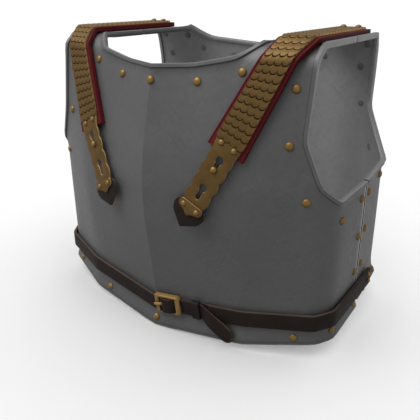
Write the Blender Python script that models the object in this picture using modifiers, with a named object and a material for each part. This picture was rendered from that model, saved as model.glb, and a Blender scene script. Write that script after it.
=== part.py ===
"""A steel cuirass: a breastplate and a backplate, two scaled straps that hook on studs, and a waist belt.

Lengths are in millimetres until a mesh is made, and +Z is up. The wearer faces -Y, and +X is the wearer's
left. In the tables, depth is counted back from the foot of the breastplate's median ridge, the lowest point
in front. DEPTH_ORIGIN is the depth that lies on the row's origin.
"""

import math
from collections import namedtuple

import bmesh
import bpy
import numpy as np
from mathutils import Matrix, Vector
from mathutils.bvhtree import BVHTree

MM = 0.001
DEPTH_ORIGIN = 136.5
GAP = 0.35

# Plates
WALL = 2.5
CELL = 24.0
SMOOTHINGS = 3
PULL = 0.2
FLOOR_CUT = Vector((500, 400, 20))

Ring = namedtuple("Ring", "reach thickness")
RIM = (Ring(0.0, 2.5), Ring(1.2, 6.5), Ring(4.4, 6.5), Ring(5.2, 4.8))
RIM_THICKNESS = 6.5
CORNER_SPREAD = 0.6
MERGE = 0.00001
JOIN = 0.01

# Straps
BACKING = 5.6
BACKING_MARGIN = 4.6
SCALE_STRIP = 2.4
BEND = 6.0
STRIP_START = 17.4
STRIP_END_MARGIN = 4.6
KEY_PLATE = 2.0
KEY_TOP_GAP = 0.5
KEY_TOP_MARGIN = 0.7
KEY_HALF = 14.2
KEY_END = 66.2
TIP_PLATE = 1.8
TAB = 2.4
ARC_STEPS = 8

# Belt
BELT_WIDTH = 20.4
BELT = 4.2
BUCKLE_START = 3.4
BUCKLE_END = 39.0
WINDOW_START = 8.6
WINDOW_END = 32.4
KEEPER_START = 55.6
KEEPER_END = 66.2
LOOP_SIDE = 1.9
LOOP_BACK = 1.2
LOOP_FRONT = 7.4
LOOP_CHAMFER = 0.6
LOWER_RAIL = 1.5
UPPER_RAIL = 3.8
WINDOW_TOP = 1.0
CORNER_CHAMFER = 4.0
CUT_MARGIN = 1.0
BAR_RADIUS = 1.2
BAR_ALONG = 23.0
BAR_OUT = 4.0
PRONG_RADIUS = 2.1
PRONG_LEVEL = 12.4
SLOT_HALF = 2.6
SLOT_START = 8.8
SLOT_END = 16.4
SLOT_BACK = 4.2
SLOT_FRONT = 12.0

# Rivets
STEPS = 12
CAP_RINGS = 3
RAY = 12.0
HEAD_CLEAR = 6.0

Head = namedtuple("Head", "radius height")
PLATE_HEAD = Head(4.7, 2.7)
BELT_HEAD = Head(3.3, 2.0)
FRONT_HEAD = Head(3.3, 2.1)
BACK_HEAD = Head(3.7, 2.4)
STUD_HEAD = Head(3.9, 3.1)
STUD_SHANK = 1.7

Station = namedtuple("Station", "level middle inner outer fore corner side seam")

# Mid-wall points (x, depth, height) of the breastplate's half. A gap between two points is a straight line.
BREAST = (
    Station(
        "edge", (0, 0.9, -0.6), None, None,
        (119, 18.2, 9), (199, 51.6, 21.5), (211.3, 75.4, 20), (214.3, 148.7, 26),
    ),
    Station(
        "waist", (0, 9.2, 27), None, None,
        (119, 23.7, 38), (193.4, 51.2, 44.5), (207.1, 72.4, 44.5), (208.7, 147, 44.5),
    ),
    Station(
        "belly", (0, -8, 154), None, None,
        (119, 15.2, 158), (190.6, 49.8, 150), (205, 71.9, 146), (209.2, 139.6, 142),
    ),
    Station(
        "chest", (0, -9.4, 198), None, None,
        (119, 16, 206), (187, 47.4, 212.5), (202.4, 70.6, 190.5), (209.3, 135.8, 197),
    ),
    Station("arm", (0, -5, 236), None, None, (119, 24, 250), (167.5, 41.4, 262), None, None),
    Station(
        "neck", (0, 17, 323.5), (46, 30.4, 325.6), (93.5, 39.6, 335),
        (119, 45.8, 338.5), (168.4, 53.6, 338.5), None, None,
    ),
    Station(
        "shoulder", None, None, (115, 60.5, 350.6),
        (127, 62.8, 351.7), (168.4, 70, 351.7), None, None,
    ),
    Station(
        "top", None, None, (115, 134, 350.6),
        (127, 138, 351.7), (168.4, 156, 351.7), None, None,
    ),
)

# The same for the backplate, whose middle is the spine.
BACK = (
    Station(
        "edge", (0, 283, -0.4), None, None,
        (112, 279, -0.4), (192, 264, 20), (211.5, 232, 38), (214, 151.5, 34.5),
    ),
    Station(
        "waist", (0, 272.8, 46), None, None,
        (111, 268.6, 47), (180, 256, 52), (208.3, 219, 57), (208.8, 150, 44.5),
    ),
    Station(
        "belly", (0, 273.8, 122), None, None,
        (110, 268.8, 122), (177, 254.6, 122), (209.2, 210, 122), (209.3, 144, 122),
    ),
    Station(
        "arm", (0, 273.4, 222), None, None,
        (105, 267, 238), (167, 248.6, 264.5), (209, 202.6, 205.5), (209.3, 138.3, 197.5),
    ),
    Station("yoke", (0, 269.8, 305), None, None, (103, 264, 308), (167.4, 247.3, 308), None, None),
    Station(
        "neck", (0, 264.8, 327.5), (43, 263.2, 330.5), (86, 258.6, 334),
        (104, 256.4, 336), (168, 243, 336), None, None,
    ),
    Station(
        "shoulder", None, None, (115, 244, 350.6),
        (127, 242.4, 351.7), (168.4, 237, 351.7), None, None,
    ),
    Station(
        "top", None, None, (115, 136.6, 350.6),
        (127, 140.6, 351.7), (168.4, 158.6, 351.7), None, None,
    ),
)
CREASES = ("edge", "waist")
SHARES = {"inner": 0.39, "outer": 0.785}

Fold = namedtuple("Fold", "place inner outer")

# The top face of a strap's backing, from its front end over the shoulder to its back end.
STRAP = (
    Fold("front end", (76.8, 9.1, 256.2), (116.3, 13, 238.2)),
    Fold("collar", (118.4, 38.2, 341.4), (157.4, 43.2, 342)),
    Fold("shoulder", (126.5, 60.6, 359), (168, 67.4, 359)),
    Fold("back end", (126.5, 222, 359), (168, 222, 359)),
)

# The keyhole plate's fold, in the middle of its lower face, and the plate's directions.
KEY_ORIGIN = Vector((96, 10.1, 245.2))
KEY_DOWN = Vector((-0.454, -0.194, -0.870)).normalized()
KEY_UP = Vector((0.398, 0.275, 0.875)).normalized()
KEY_ACROSS = Vector((0.877, 0.077, -0.475)).normalized()
KEY_OUT = KEY_DOWN.cross(KEY_ACROSS).normalized()

Lobe = namedtuple("Lobe", "start end half bulge")
LOBES = (
    Lobe(0.0, 12.2, 13.6, 1.4), Lobe(12.2, 29.3, 13.0, 2.3),
    Lobe(29.3, 46.8, 13.0, 2.3), Lobe(46.8, 64.6, 13.1, 2.2),
)
LOBE_STEPS = 5

Keyhole = namedtuple("Keyhole", "centre radius slot_end slot_half")
KEYHOLES = (Keyhole(7.6, 4.7, 22.4, 2.7), Keyhole(43.4, 4.7, 58.4, 2.7))
STUD_DOWN = 19.2

Half = namedtuple("Half", "down across")
TIP = (
    Half(64.9, 13.0), Half(67.6, 14.9), Half(71.4, 15.0), Half(73.9, 13.0), Half(75.4, 9.0), Half(76.6, 5.3),
)
TIP_POINT = 80.6
TAB_SHAPE = (
    Half(66.6, 14.2), Half(68.6, 17.7), Half(72.0, 19.4), Half(76.0, 19.9),
    Half(80.6, 18.7), Half(85.2, 15.8), Half(91, 8.0),
)
TAB_POINT = 97.4

BeltPoint = namedtuple("BeltPoint", "place upper lower")

# The line along which the belt bears on the plates.
BELT_LINE = (
    BeltPoint("ridge", (0, 5.0, 45.0), (0, 6.4, 24.6)),
    BeltPoint("fore", (119.3, 20.3, 56.4), (119.3, 21.2, 36.0)),
    BeltPoint("corner", (194.9, 49.2, 62.4), (195.7, 49.5, 42.0)),
    BeltPoint("side", (209.2, 71.3, 62.6), (210.2, 71.5, 42.2)),
    BeltPoint("seam", (211.0, 150.0, 62.4), (212.3, 150.0, 42.0)),
    BeltPoint("end", (211.2, 191.0, 62.4), (214.0, 190.0, 42.0)),
)

# Where the belts overlap: distance from the ridge, height of the under face over the plate, and thickness.
Lap = namedtuple("Lap", "along under thickness")
UPPER_LAP = (
    Lap(0.0, 0.0, 4.2), Lap(2.0, 0.0, 4.2), Lap(3.8, 2.3, 1.9), Lap(9.8, 2.3, 1.9), Lap(11.4, 5.2, 1.9),
    Lap(14.2, 7.0, 1.9), Lap(19.0, 7.5, 1.9), Lap(25.0, 7.2, 1.9), Lap(28.4, 5.2, 1.9), Lap(30.2, 2.8, 1.9),
    Lap(31.2, 2.3, 1.9), Lap(67.6, 2.3, 1.9),
)
LOWER_LAP = (Lap(5.2, 0.0, 1.9), Lap(75.0, 0.0, 1.9), Lap(79.0, 0.0, 4.2))

# The free end's outer face and thickness, from the keeper to its rounded tip.
Tongue = namedtuple("Tongue", "upper lower thickness")
TONGUE = (
    Tongue((81.5, 7.9, 43.8), (77.4, 7.5, 23.8), 2.2),
    Tongue((94.8, 8.5, 36.4), (87.2, 8.2, 17.5), 3.2),
    Tongue((103.6, 9.4, 30.9), (95.4, 8.8, 12.3), 3.6),
    Tongue((108.2, 10.4, 26.7), (100.8, 9.1, 9.8), 3.6),
    Tongue((110.5, 10.2, 22.5), (105.6, 8.9, 10.0), 3.6),
    Tongue((111.8, 8.6, 17.5), (109.4, 8.4, 11.5), 3.6),
)

# The prong, from the buckle's bar through the belt's slot to its tip: along, out, and share of its radius.
Bend = namedtuple("Bend", "along out share")
PRONG = (
    Bend(20.6, 4.4, 1.0), Bend(16.0, 4.8, 1.0), Bend(12.4, 7.6, 1.0), Bend(9.4, 9.6, 1.0),
    Bend(5.4, 9.8, 0.95), Bend(3.2, 9.4, 0.7),
)

Spot = namedtuple("Spot", "row number x depth height")
PLATE_RIVETS = (
    Spot("neck", 0, 0, 13, 312.8), Spot("neck", 1, 52.2, 24.5, 314.2), Spot("neck", 2, 98.6, 36.8, 325.2),
    Spot("arm", 1, 153.8, 45.7, 312.9), Spot("arm", 2, 155.1, 35.9, 257.7),
    Spot("arm", 3, 176.6, 40.5, 199.2), Spot("arm", 4, 207, 81, 171.4),
    Spot("seam", 1, 214, 128, 182), Spot("seam", 2, 214, 132.6, 132),
    Spot("seam", 3, 214, 136, 82), Spot("hem", 0, 0, 4, 11.5), Spot("hem", 1, 92, 16, 18),
    Spot("hem", 2, 174.1, 40.5, 28.3), Spot("hem", 3, 216.5, 73, 34.5), Spot("hem", 4, 214, 139, 36.4),
)
BELT_RIVETS = (Spot("belt", 1, 216, 183.6, 57), Spot("belt", 2, 216, 183.4, 47.5))
FRONT_RIVET_UP = 9.6
FRONT_RIVET_ACROSS = 8.2
BACK_RIVET_MARGIN = 6.8
BACK_RIVET_ACROSS = 9.0

STEEL = ("steel", (0.09, 0.09, 0.09, 1), 0.6, 0.45)
BRASS = ("brass", (0.15, 0.095, 0.04, 1), 0.6, 0.42)
LEATHER = ("red leather", (0.07, 0.006, 0.008, 1), 0.0, 0.6)
BELT_LEATHER = ("dark leather", (0.014, 0.01, 0.008, 1), 0.0, 0.6)


def vec(point):
    return Vector(point)


def mirrored(point, side):
    return Vector((point[0] * side, point[1], point[2]))


def side_name(side):
    return "left" if side > 0 else "right"


def material(spec):
    name, colour, metallic, roughness = spec
    found = bpy.data.materials.get(name)
    if found:
        return found
    made = bpy.data.materials.new(name)
    made.use_nodes = True
    shader = made.node_tree.nodes["Principled BSDF"]
    shader.inputs["Base Color"].default_value = colour
    shader.inputs["Metallic"].default_value = metallic
    shader.inputs["Roughness"].default_value = roughness
    return made


def collection(name):
    made = bpy.data.collections.get(name)
    if made is None:
        made = bpy.data.collections.new(name)
        bpy.context.scene.collection.children.link(made)
    return made


def add(name, mesh, spec, home="cuirass"):
    """Make an object from a bmesh whose lengths are in millimetres and whose depth is not yet centred."""
    bmesh.ops.translate(mesh, verts=mesh.verts, vec=(0, -DEPTH_ORIGIN, 0))
    bmesh.ops.scale(mesh, verts=mesh.verts, vec=(MM, MM, MM))
    data = bpy.data.meshes.new(name)
    mesh.to_mesh(data)
    mesh.free()
    thing = bpy.data.objects.new(name, data)
    if spec:
        data.materials.append(material(spec))
    collection(home).objects.link(thing)
    return thing


def thicken(thing, thickness, offset, weights=None):
    """Give an open surface its wall. Weights, one for each vertex, are shares of the thickness."""
    solid = thing.modifiers.new("wall", "SOLIDIFY")
    solid.thickness = thickness * MM
    solid.offset = offset
    solid.use_even_offset = True
    if weights is not None:
        group = thing.vertex_groups.new(name="wall")
        for index, weight in enumerate(weights):
            group.add([index], weight, "REPLACE")
        solid.vertex_group = "wall"


def cut(thing, cutter):
    boolean = thing.modifiers.new(cutter.name, "BOOLEAN")
    boolean.operation = "DIFFERENCE"
    boolean.solver = "EXACT"
    boolean.object = cutter


def cutter(name, mesh):
    made = add(name, mesh, None, "cutters")
    made.hide_render = True
    made.display_type = "WIRE"
    return made


# Plates


def filled(station):
    """Give a station's points with each gap between two of them put on the line between them."""
    points = [None if p is None else np.array(p, float) for p in station[1:]]
    known = [i for i, p in enumerate(points) if p is not None]
    for i in range(known[0], known[-1]):
        if points[i] is None:
            share = SHARES[Station._fields[i + 1]]
            points[i] = points[0] * (1 - share) + points[3] * share
    return points


def counts(rows):
    """Say how many cells lie between neighbouring columns, and between neighbouring rows."""
    across = []
    for j in range(len(rows[0]) - 1):
        spans = [np.linalg.norm(r[j + 1] - r[j]) for r in rows if r[j] is not None and r[j + 1] is not None]
        across.append(max(1, round(max(spans) / CELL)))
    up = []
    for low, high in zip(rows, rows[1:]):
        spans = [np.linalg.norm(b - a) for a, b in zip(low, high) if a is not None and b is not None]
        up.append(max(1, round(max(spans) / CELL)))
    return across, up


def lattice(stations):
    """Give a plate's half as points in rows and columns, with None where the plate is open."""
    rows = [filled(station) for station in stations]
    across, up = counts(rows)
    points = {}
    cells = set()
    creased = set()
    base_i = 0
    for i, rise in enumerate(up):
        base_j = 0
        for j, run in enumerate(across):
            corners = (rows[i][j], rows[i][j + 1], rows[i + 1][j], rows[i + 1][j + 1])
            if all(c is not None for c in corners):
                for a in range(rise + 1):
                    for b in range(run + 1):
                        s, t = a / rise, b / run
                        low = corners[0] * (1 - t) + corners[1] * t
                        high = corners[2] * (1 - t) + corners[3] * t
                        points[(base_i + a, base_j + b)] = low * (1 - s) + high * s
                cells.update((base_i + a, base_j + b) for a in range(rise) for b in range(run))
            base_j += run
        if stations[i].level in CREASES:
            creased.add(base_i)
        base_i += rise
    return points, cells, creased


def touching(cells, key):
    i, j = key
    return [c for c in ((i, j), (i - 1, j), (i, j - 1), (i - 1, j - 1)) if c in cells]


def joined(cells, key):
    """List a lattice point's neighbours, each with whether the edge to it is an edge of the plate."""
    i, j = key
    found = []
    for di, dj, sides in (
        (0, 1, ((i, j), (i - 1, j))), (0, -1, ((i, j - 1), (i - 1, j - 1))),
        (1, 0, ((i, j), (i, j - 1))), (-1, 0, ((i - 1, j), (i - 1, j - 1))),
    ):
        number = sum(side in cells for side in sides)
        if number:
            found.append(((i + di, j + dj), number == 1))
    return found


def smoothed(points, cells, creased):
    """Draw each point towards its neighbours. Edges and creases are smoothed along their own lines."""
    for _ in range(SMOOTHINGS):
        moved = {}
        for key, point in points.items():
            around = joined(cells, key)
            if key[1] == 0:
                keep = [k for k, on_edge in around if k[1] == 0 and key[0] not in creased]
            elif key[0] in creased:
                keep = [k for k, on_edge in around if k[0] == key[0]]
            elif len(touching(cells, key)) == 4:
                keep = [k for k, on_edge in around]
            else:
                keep = [k for k, on_edge in around if on_edge]
            if len(touching(cells, key)) == 1 or len(keep) < 2:
                moved[key] = point
                continue
            target = sum(points[k] for k in keep) / len(keep)
            moved[key] = point * (1 - PULL) + target * PULL
        points = moved
    return points


def edge_chain(cells, start, stop):
    """Follow the plate's edge from one lattice point to another."""
    chain = [start]
    previous = None
    while chain[-1] != stop:
        beside = joined(cells, chain[-1])
        options = [k for k, on_edge in beside if on_edge and k != previous and k not in chain]
        if len(chain) == 1:
            options = [k for k in options if leads_to(cells, chain[-1], k, stop)]
        previous = chain[-1]
        chain.append(options[0])
    return chain


def leads_to(cells, start, step, stop):
    """Say whether the edge that leaves start by step meets stop before it meets the lowest row."""
    seen = {start}
    here = step
    while here != stop:
        seen.add(here)
        options = [k for k, on_edge in joined(cells, here) if on_edge and k not in seen]
        if here[0] == 0 or not options:
            return False
        here = options[0]
    return True


def openings(points):
    """Find the lattice points where the neck's and the arm's edges start and stop."""
    top = max(i for i, j in points)
    top_row = sorted(j for i, j in points if i == top)
    last_column = max(j for i, j in points)
    neck_start = (max(i for i, j in points if j == 0), 0)
    arm_start = (max(i for i, j in points if j == last_column), last_column)
    return (neck_start, (top, top_row[0])), (arm_start, (top, top_row[-1]))


def shell(name, stations):
    """Build a plate from its half: a wall with a proud rim along its neck and arm openings."""
    points, cells, creased = lattice(stations)
    points = smoothed(points, cells, creased)
    mesh = bmesh.new()
    weight_layer = mesh.verts.layers.float.new("wall")
    made = {key: mesh.verts.new(point) for key, point in points.items()}
    for i, j in sorted(cells):
        mesh.faces.new((made[(i, j)], made[(i, j + 1)], made[(i + 1, j + 1)], made[(i + 1, j)]))
    mesh.normal_update()
    for vertex in mesh.verts:
        vertex[weight_layer] = WALL / RIM_THICKNESS
    for start, stop in openings(points):
        chain = edge_chain(cells, start, stop)
        add_rim(mesh, weight_layer, chain, made, points, cells)
    mesh.verts.index_update()
    weights = [vertex[weight_layer] for vertex in mesh.verts]
    thing = add(name, mesh, STEEL)
    mirror = thing.modifiers.new("other half", "MIRROR")
    mirror.use_clip = True
    mirror.merge_threshold = MERGE
    thicken(thing, RIM_THICKNESS, 0, weights)
    return thing


def outward(chain, k, made, points, cells):
    """Give the way in which the plate would go on at one point of a chain. Its length allows for corners."""
    here = vec(points[chain[k]])
    normal = made[chain[k]].normal.copy()
    if k in (0, len(chain) - 1) and chain[k][1] != 0:
        beside = [key for key, on_edge in joined(cells, chain[k]) if on_edge and key not in chain]
        return (here - vec(points[beside[0]])).normalized()
    before = (here - vec(points[chain[k - 1]])).normalized() if k > 0 else None
    after = (vec(points[chain[k + 1]]) - here).normalized()
    if before is None:
        way = Vector((0, *after.cross(normal)[1:])).normalized()
    else:
        tangent = (before + after).normalized()
        way = tangent.cross(normal).normalized() / max(CORNER_SPREAD, tangent.dot(before))
    return -way if way.dot(reach_from(chain[k], cells, points)) < 0 else way


def add_rim(mesh, layer, chain, made, points, cells):
    """Carry a plate's edge on by the rim's rings."""
    ways = [outward(chain, k, made, points, cells) for k in range(len(chain))]
    rows = [[made[key] for key in chain]]
    for ring in RIM[1:]:
        row = []
        for key, way in zip(chain, ways):
            vertex = mesh.verts.new(vec(points[key]) + way * ring.reach)
            vertex[layer] = ring.thickness / RIM_THICKNESS
            row.append(vertex)
        rows.append(row)
    for low, high in zip(rows, rows[1:]):
        for a in range(len(chain) - 1):
            mesh.faces.new((low[a], low[a + 1], high[a + 1], high[a]))


def reach_from(key, cells, points):
    """Give the way from the middle of the cells at a lattice point to the point itself."""
    middles = []
    for i, j in touching(cells, key):
        corners = [vec(points[k]) for k in ((i, j), (i, j + 1), (i + 1, j), (i + 1, j + 1))]
        middles.append(sum(corners, Vector()) / 4)
    return vec(points[key]) - sum(middles, Vector()) / len(middles)


def floor_cutter():
    mesh = bmesh.new()
    bmesh.ops.create_cube(mesh, size=1)
    bmesh.ops.scale(mesh, verts=mesh.verts, vec=FLOOR_CUT)
    bmesh.ops.translate(mesh, verts=mesh.verts, vec=(0, DEPTH_ORIGIN, -FLOOR_CUT.z / 2))
    return cutter("floor cutter", mesh)


def orient(thing):
    """Turn a lattice's faces outward, away from the body's axis."""
    mesh = bmesh.new()
    mesh.from_mesh(thing.data)
    bmesh.ops.recalc_face_normals(mesh, faces=mesh.faces)
    mesh.faces.ensure_lookup_table()
    outer = sum(f.normal.dot(f.calc_center_median() * Vector((1, 1, 0))) * f.calc_area() for f in mesh.faces)
    if outer < 0:
        bmesh.ops.reverse_faces(mesh, faces=mesh.faces)
    mesh.to_mesh(thing.data)
    mesh.free()


# Straps


def rounded(folds, setback):
    """Give the folds as rows of inner and outer points, with each inner fold opened into a bend."""
    rows = [(vec(fold.inner), vec(fold.outer)) for fold in folds]
    out = [rows[0]]
    for before, here, after in zip(rows, rows[1:], rows[2:]):
        first = [h + (b - h).normalized() * setback for h, b in zip(here, before)]
        last = [h + (a - h).normalized() * setback for h, a in zip(here, after)]
        middle = [f * 0.25 + h * 0.5 + e * 0.25 for f, h, e in zip(first, here, last)]
        out += [tuple(first), tuple(middle), tuple(last)]
    out.append(rows[-1])
    return out


def ribbon(name, rows, side, spec, thickness, offset, weights=None):
    """Build a band from rows of two points, and give it its thickness."""
    mesh = bmesh.new()
    pairs = [[mesh.verts.new(mirrored(p, side)) for p in row] for row in rows]
    for low, high in zip(pairs, pairs[1:]):
        face = (low[0], low[1], high[1], high[0])
        mesh.faces.new(face if side > 0 else face[::-1])
    thing = add(name, mesh, spec)
    thicken(thing, thickness, offset, weights)
    return thing


def strip_rows():
    """Give the scale strip's lower face: inside the backing's margins, and short of its ends."""
    rows = rounded(STRAP, BEND)
    inset = []
    for inner, outer in rows:
        way = (outer - inner).normalized()
        inset.append((inner + way * BACKING_MARGIN, outer - way * BACKING_MARGIN))
    start = KEY_ORIGIN + KEY_UP * STRIP_START
    first, second = inset[0], inset[1]
    run = [(b - a).normalized() for a, b in zip(first, second)]
    inset[0] = tuple(p + r * (start - p).dot(KEY_UP) / r.dot(KEY_UP) for p, r in zip(first, run))
    last, before = inset[-1], inset[-2]
    inset[-1] = tuple(p + (b - p).normalized() * STRIP_END_MARGIN for p, b in zip(last, before))
    return raised(inset, GAP)


def raised(rows, height):
    """Move a band's rows off its face."""
    out = []
    for k, (inner, outer) in enumerate(rows):
        low = rows[max(0, k - 1)]
        high = rows[min(len(rows) - 1, k + 1)]
        run = (high[0] + high[1]) - (low[0] + low[1])
        normal = (outer - inner).cross(run).normalized()
        out.append((inner + normal * height, outer + normal * height))
    return out


def add_strap(side):
    word = side_name(side)
    rows = rounded(STRAP, BEND)
    ribbon(f"strap_backing_{word}", rows, side, LEATHER, BACKING, -1)
    ribbon(f"scale_strip_{word}", strip_rows(), side, BRASS, SCALE_STRIP, 1)


# Keyhole plate, its tip and the leather tab


def key_point(down, across, out=0.0):
    """Give the point of the keyhole plate's lower face at a distance down from its fold."""
    return KEY_ORIGIN + KEY_DOWN * down + KEY_ACROSS * across + KEY_OUT * out


def half_outline(halves, point):
    """Close a symmetric outline from its halves and the point at its end."""
    right = [(h.down, h.across) for h in halves]
    left = [(h.down, -h.across) for h in reversed(halves)]
    return right + [(point, 0.0)] + left


def lobed_outline():
    """Give the keyhole plate's edge below its fold, which goes in and out in lobes."""
    right = [(0.0, KEY_HALF)]
    for lobe in LOBES:
        for k in range(1, LOBE_STEPS + 1):
            t = k / LOBE_STEPS
            down = lobe.start + (lobe.end - lobe.start) * t
            right.append((down, lobe.half + lobe.bulge * math.sin(math.pi * t)))
    right.append((KEY_END, LOBES[-1].half))
    return right + [(down, -across) for down, across in reversed(right)]


def keyhole_outline(hole):
    """Give a keyhole's edge: a round head with a slot that runs down from it and ends round."""
    half_angle = math.asin(hole.slot_half / hole.radius)
    outline = []
    for k in range(ARC_STEPS + 1):
        angle = half_angle + (2 * math.pi - 2 * half_angle) * k / ARC_STEPS
        outline.append((hole.centre + hole.radius * math.cos(angle), hole.radius * math.sin(angle)))
    bottom = hole.slot_end - hole.slot_half
    for k in range(ARC_STEPS // 2 + 1):
        angle = -math.pi / 2 + math.pi * k / (ARC_STEPS // 2)
        outline.append((bottom + hole.slot_half * math.cos(angle), hole.slot_half * math.sin(angle)))
    return outline


def sheet(mesh, outlines, place, side):
    """Fill an outline and its holes with faces that look outward."""
    edges = []
    for outline in outlines:
        verts = [mesh.verts.new(mirrored(place(down, across), side)) for down, across in outline]
        edges += [mesh.edges.new((a, b)) for a, b in zip(verts, verts[1:] + verts[:1])]
    filled_in = bmesh.ops.triangle_fill(mesh, use_beauty=True, use_dissolve=False, edges=edges)
    faces = [item for item in filled_in["geom"] if isinstance(item, bmesh.types.BMFace)]
    out = mirrored(KEY_OUT, side)
    for face in faces:
        face.normal_update()
        if face.normal.dot(out) < 0:
            face.normal_flip()


def add_key_plate(side):
    mesh = bmesh.new()
    sheet(mesh, [lobed_outline()] + [keyhole_outline(hole) for hole in KEYHOLES], key_point, side)
    inner, outer = strip_rows()[0]
    way = (outer - inner).normalized()
    top = [p - KEY_UP * KEY_TOP_GAP for p in (outer - way * KEY_TOP_MARGIN, inner + way * KEY_TOP_MARGIN)]
    fold = [key_point(0, KEY_HALF), key_point(0, -KEY_HALF)]
    face = [mesh.verts.new(mirrored(p, side)) for p in (fold[1], fold[0], top[0], top[1])]
    mesh.faces.new(face if side > 0 else face[::-1])
    bmesh.ops.remove_doubles(mesh, verts=mesh.verts, dist=JOIN)
    thing = add(f"keyhole_plate_{side_name(side)}", mesh, BRASS)
    thicken(thing, KEY_PLATE, 1)


def flat_piece(name, outline, out, thickness, spec, side):
    mesh = bmesh.new()
    sheet(mesh, [outline], lambda down, across: key_point(down, across, out), side)
    thing = add(name, mesh, spec)
    thicken(thing, thickness, 1)
    return thing


def add_key_end(side):
    word = side_name(side)
    flat_piece(f"end_tip_{word}", half_outline(TIP, TIP_POINT), KEY_PLATE + GAP, TIP_PLATE, BRASS, side)
    level = KEY_PLATE - TAB
    flat_piece(f"leather_tab_{word}", half_outline(TAB_SHAPE, TAB_POINT), level, TAB, BELT_LEATHER, side)


# Belt


class Bearing:
    """The plane in which the belt's front runs from the ridge to the wearer's left."""

    def __init__(self):
        ridge, fore = BELT_LINE[0], BELT_LINE[1]
        self.start = vec(ridge.lower)
        self.along = (vec(fore.lower) - vec(ridge.lower)).normalized()
        raw = vec(ridge.upper) - vec(ridge.lower)
        self.out = self.along.cross(raw).normalized()
        self.up = self.out.cross(self.along).normalized()

    def at(self, along, up, out):
        return self.start + self.along * along + self.up * up + self.out * out


def belt_rows(side):
    return [(mirrored(p.upper, side), mirrored(p.lower, side)) for p in BELT_LINE]


def lap_rows(laps, bearing):
    return [tuple(bearing.at(lap.along, up, lap.under) for up in (BELT_WIDTH, 0)) for lap in laps]


def add_belts(bearing):
    """Build the belt's halves. The right one goes on through the buckle and the keeper to its free end."""
    left = [*lap_rows(LOWER_LAP, bearing), *belt_rows(1)[1:]]
    weights = [lap.thickness / BELT for lap in LOWER_LAP for _ in "ul"] + [1.0] * 2 * (len(belt_rows(1)) - 1)
    ribbon("belt_left", left, 1, BELT_LEATHER, BELT, 1, weights)
    right = [*belt_rows(-1)[:0:-1], *lap_rows(UPPER_LAP, bearing)]
    weights = [1.0] * 2 * (len(belt_rows(-1)) - 1) + [lap.thickness / BELT for lap in UPPER_LAP for _ in "ul"]
    run = vec(TONGUE[2].upper) - vec(TONGUE[0].upper)
    for row in TONGUE:
        inward = (vec(row.upper) - vec(row.lower)).cross(run).normalized() * row.thickness
        right.append((vec(row.upper) + inward, vec(row.lower) + inward))
        weights += [row.thickness / BELT] * 2
    belt = ribbon("belt_right", right, 1, BELT_LEATHER, BELT, 1, weights)
    low, high = PRONG_LEVEL - SLOT_HALF, PRONG_LEVEL + SLOT_HALF
    slot = block(bearing, SLOT_START, SLOT_END, low, high, SLOT_BACK, SLOT_FRONT)
    cut(belt, cutter("slot cutter", slot))


def loop_section(lower, upper):
    """Give the section of a loop that is open to the plate, from its lower and upper rails' thickness."""
    low, high = -GAP - lower, BELT_WIDTH + GAP + upper
    chamfer = LOOP_FRONT - LOOP_CHAMFER
    return [
        (-GAP, LOOP_BACK), (low, LOOP_BACK), (low, chamfer), (low + LOOP_CHAMFER, LOOP_FRONT),
        (high - LOOP_CHAMFER, LOOP_FRONT), (high, chamfer), (high, LOOP_BACK), (BELT_WIDTH + GAP, LOOP_BACK),
        (BELT_WIDTH + GAP, BELT + GAP), (-GAP, BELT + GAP),
    ]


def prism(bearing, section, start, end):
    """Run a section along the belt."""
    mesh = bmesh.new()
    rings = [[mesh.verts.new(bearing.at(along, up, out)) for up, out in section] for along in (start, end)]
    count = len(section)
    for k in range(count):
        nxt = (k + 1) % count
        mesh.faces.new((rings[0][k], rings[0][nxt], rings[1][nxt], rings[1][k]))
    mesh.faces.new(rings[0][::-1])
    mesh.faces.new(rings[1])
    bmesh.ops.recalc_face_normals(mesh, faces=mesh.faces)
    return mesh


def block(bearing, start, end, low, high, back, front):
    return prism(bearing, [(low, back), (low, front), (high, front), (high, back)], start, end)


def corner_prism(bearing, end, up, way):
    """Make the wedge that chamfers one of the buckle's outer corners."""
    mesh = bmesh.new()
    reach = CORNER_CHAMFER
    beyond = end + CUT_MARGIN
    top = up + way * CUT_MARGIN
    shape = [(beyond, top), (beyond, up - way * reach), (end - reach, top)]
    levels = (0, LOOP_FRONT + CUT_MARGIN)
    rings = [[mesh.verts.new(bearing.at(a, u, out)) for a, u in shape] for out in levels]
    for k in range(len(shape)):
        nxt = (k + 1) % len(shape)
        mesh.faces.new((rings[0][k], rings[0][nxt], rings[1][nxt], rings[1][k]))
    mesh.faces.new(rings[0][::-1])
    mesh.faces.new(rings[1])
    bmesh.ops.recalc_face_normals(mesh, faces=mesh.faces)
    return mesh


def add_buckle(bearing):
    section = loop_section(LOWER_RAIL, UPPER_RAIL)
    frame = add("buckle_frame", prism(bearing, section, BUCKLE_START, BUCKLE_END), BRASS)
    top = BELT_WIDTH + GAP
    window = block(bearing, WINDOW_START, WINDOW_END, -GAP, top + WINDOW_TOP, BELT, LOOP_FRONT + CUT_MARGIN)
    cut(frame, cutter("window cutter", window))
    upper = corner_prism(bearing, BUCKLE_END, top + UPPER_RAIL, 1)
    lower = corner_prism(bearing, BUCKLE_END, -GAP - LOWER_RAIL, -1)
    cut(frame, cutter("upper corner cutter", upper))
    cut(frame, cutter("lower corner cutter", lower))
    keeper = prism(bearing, loop_section(LOOP_SIDE, LOOP_SIDE), KEEPER_START, KEEPER_END)
    add("keeper", keeper, BELT_LEATHER)


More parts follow.
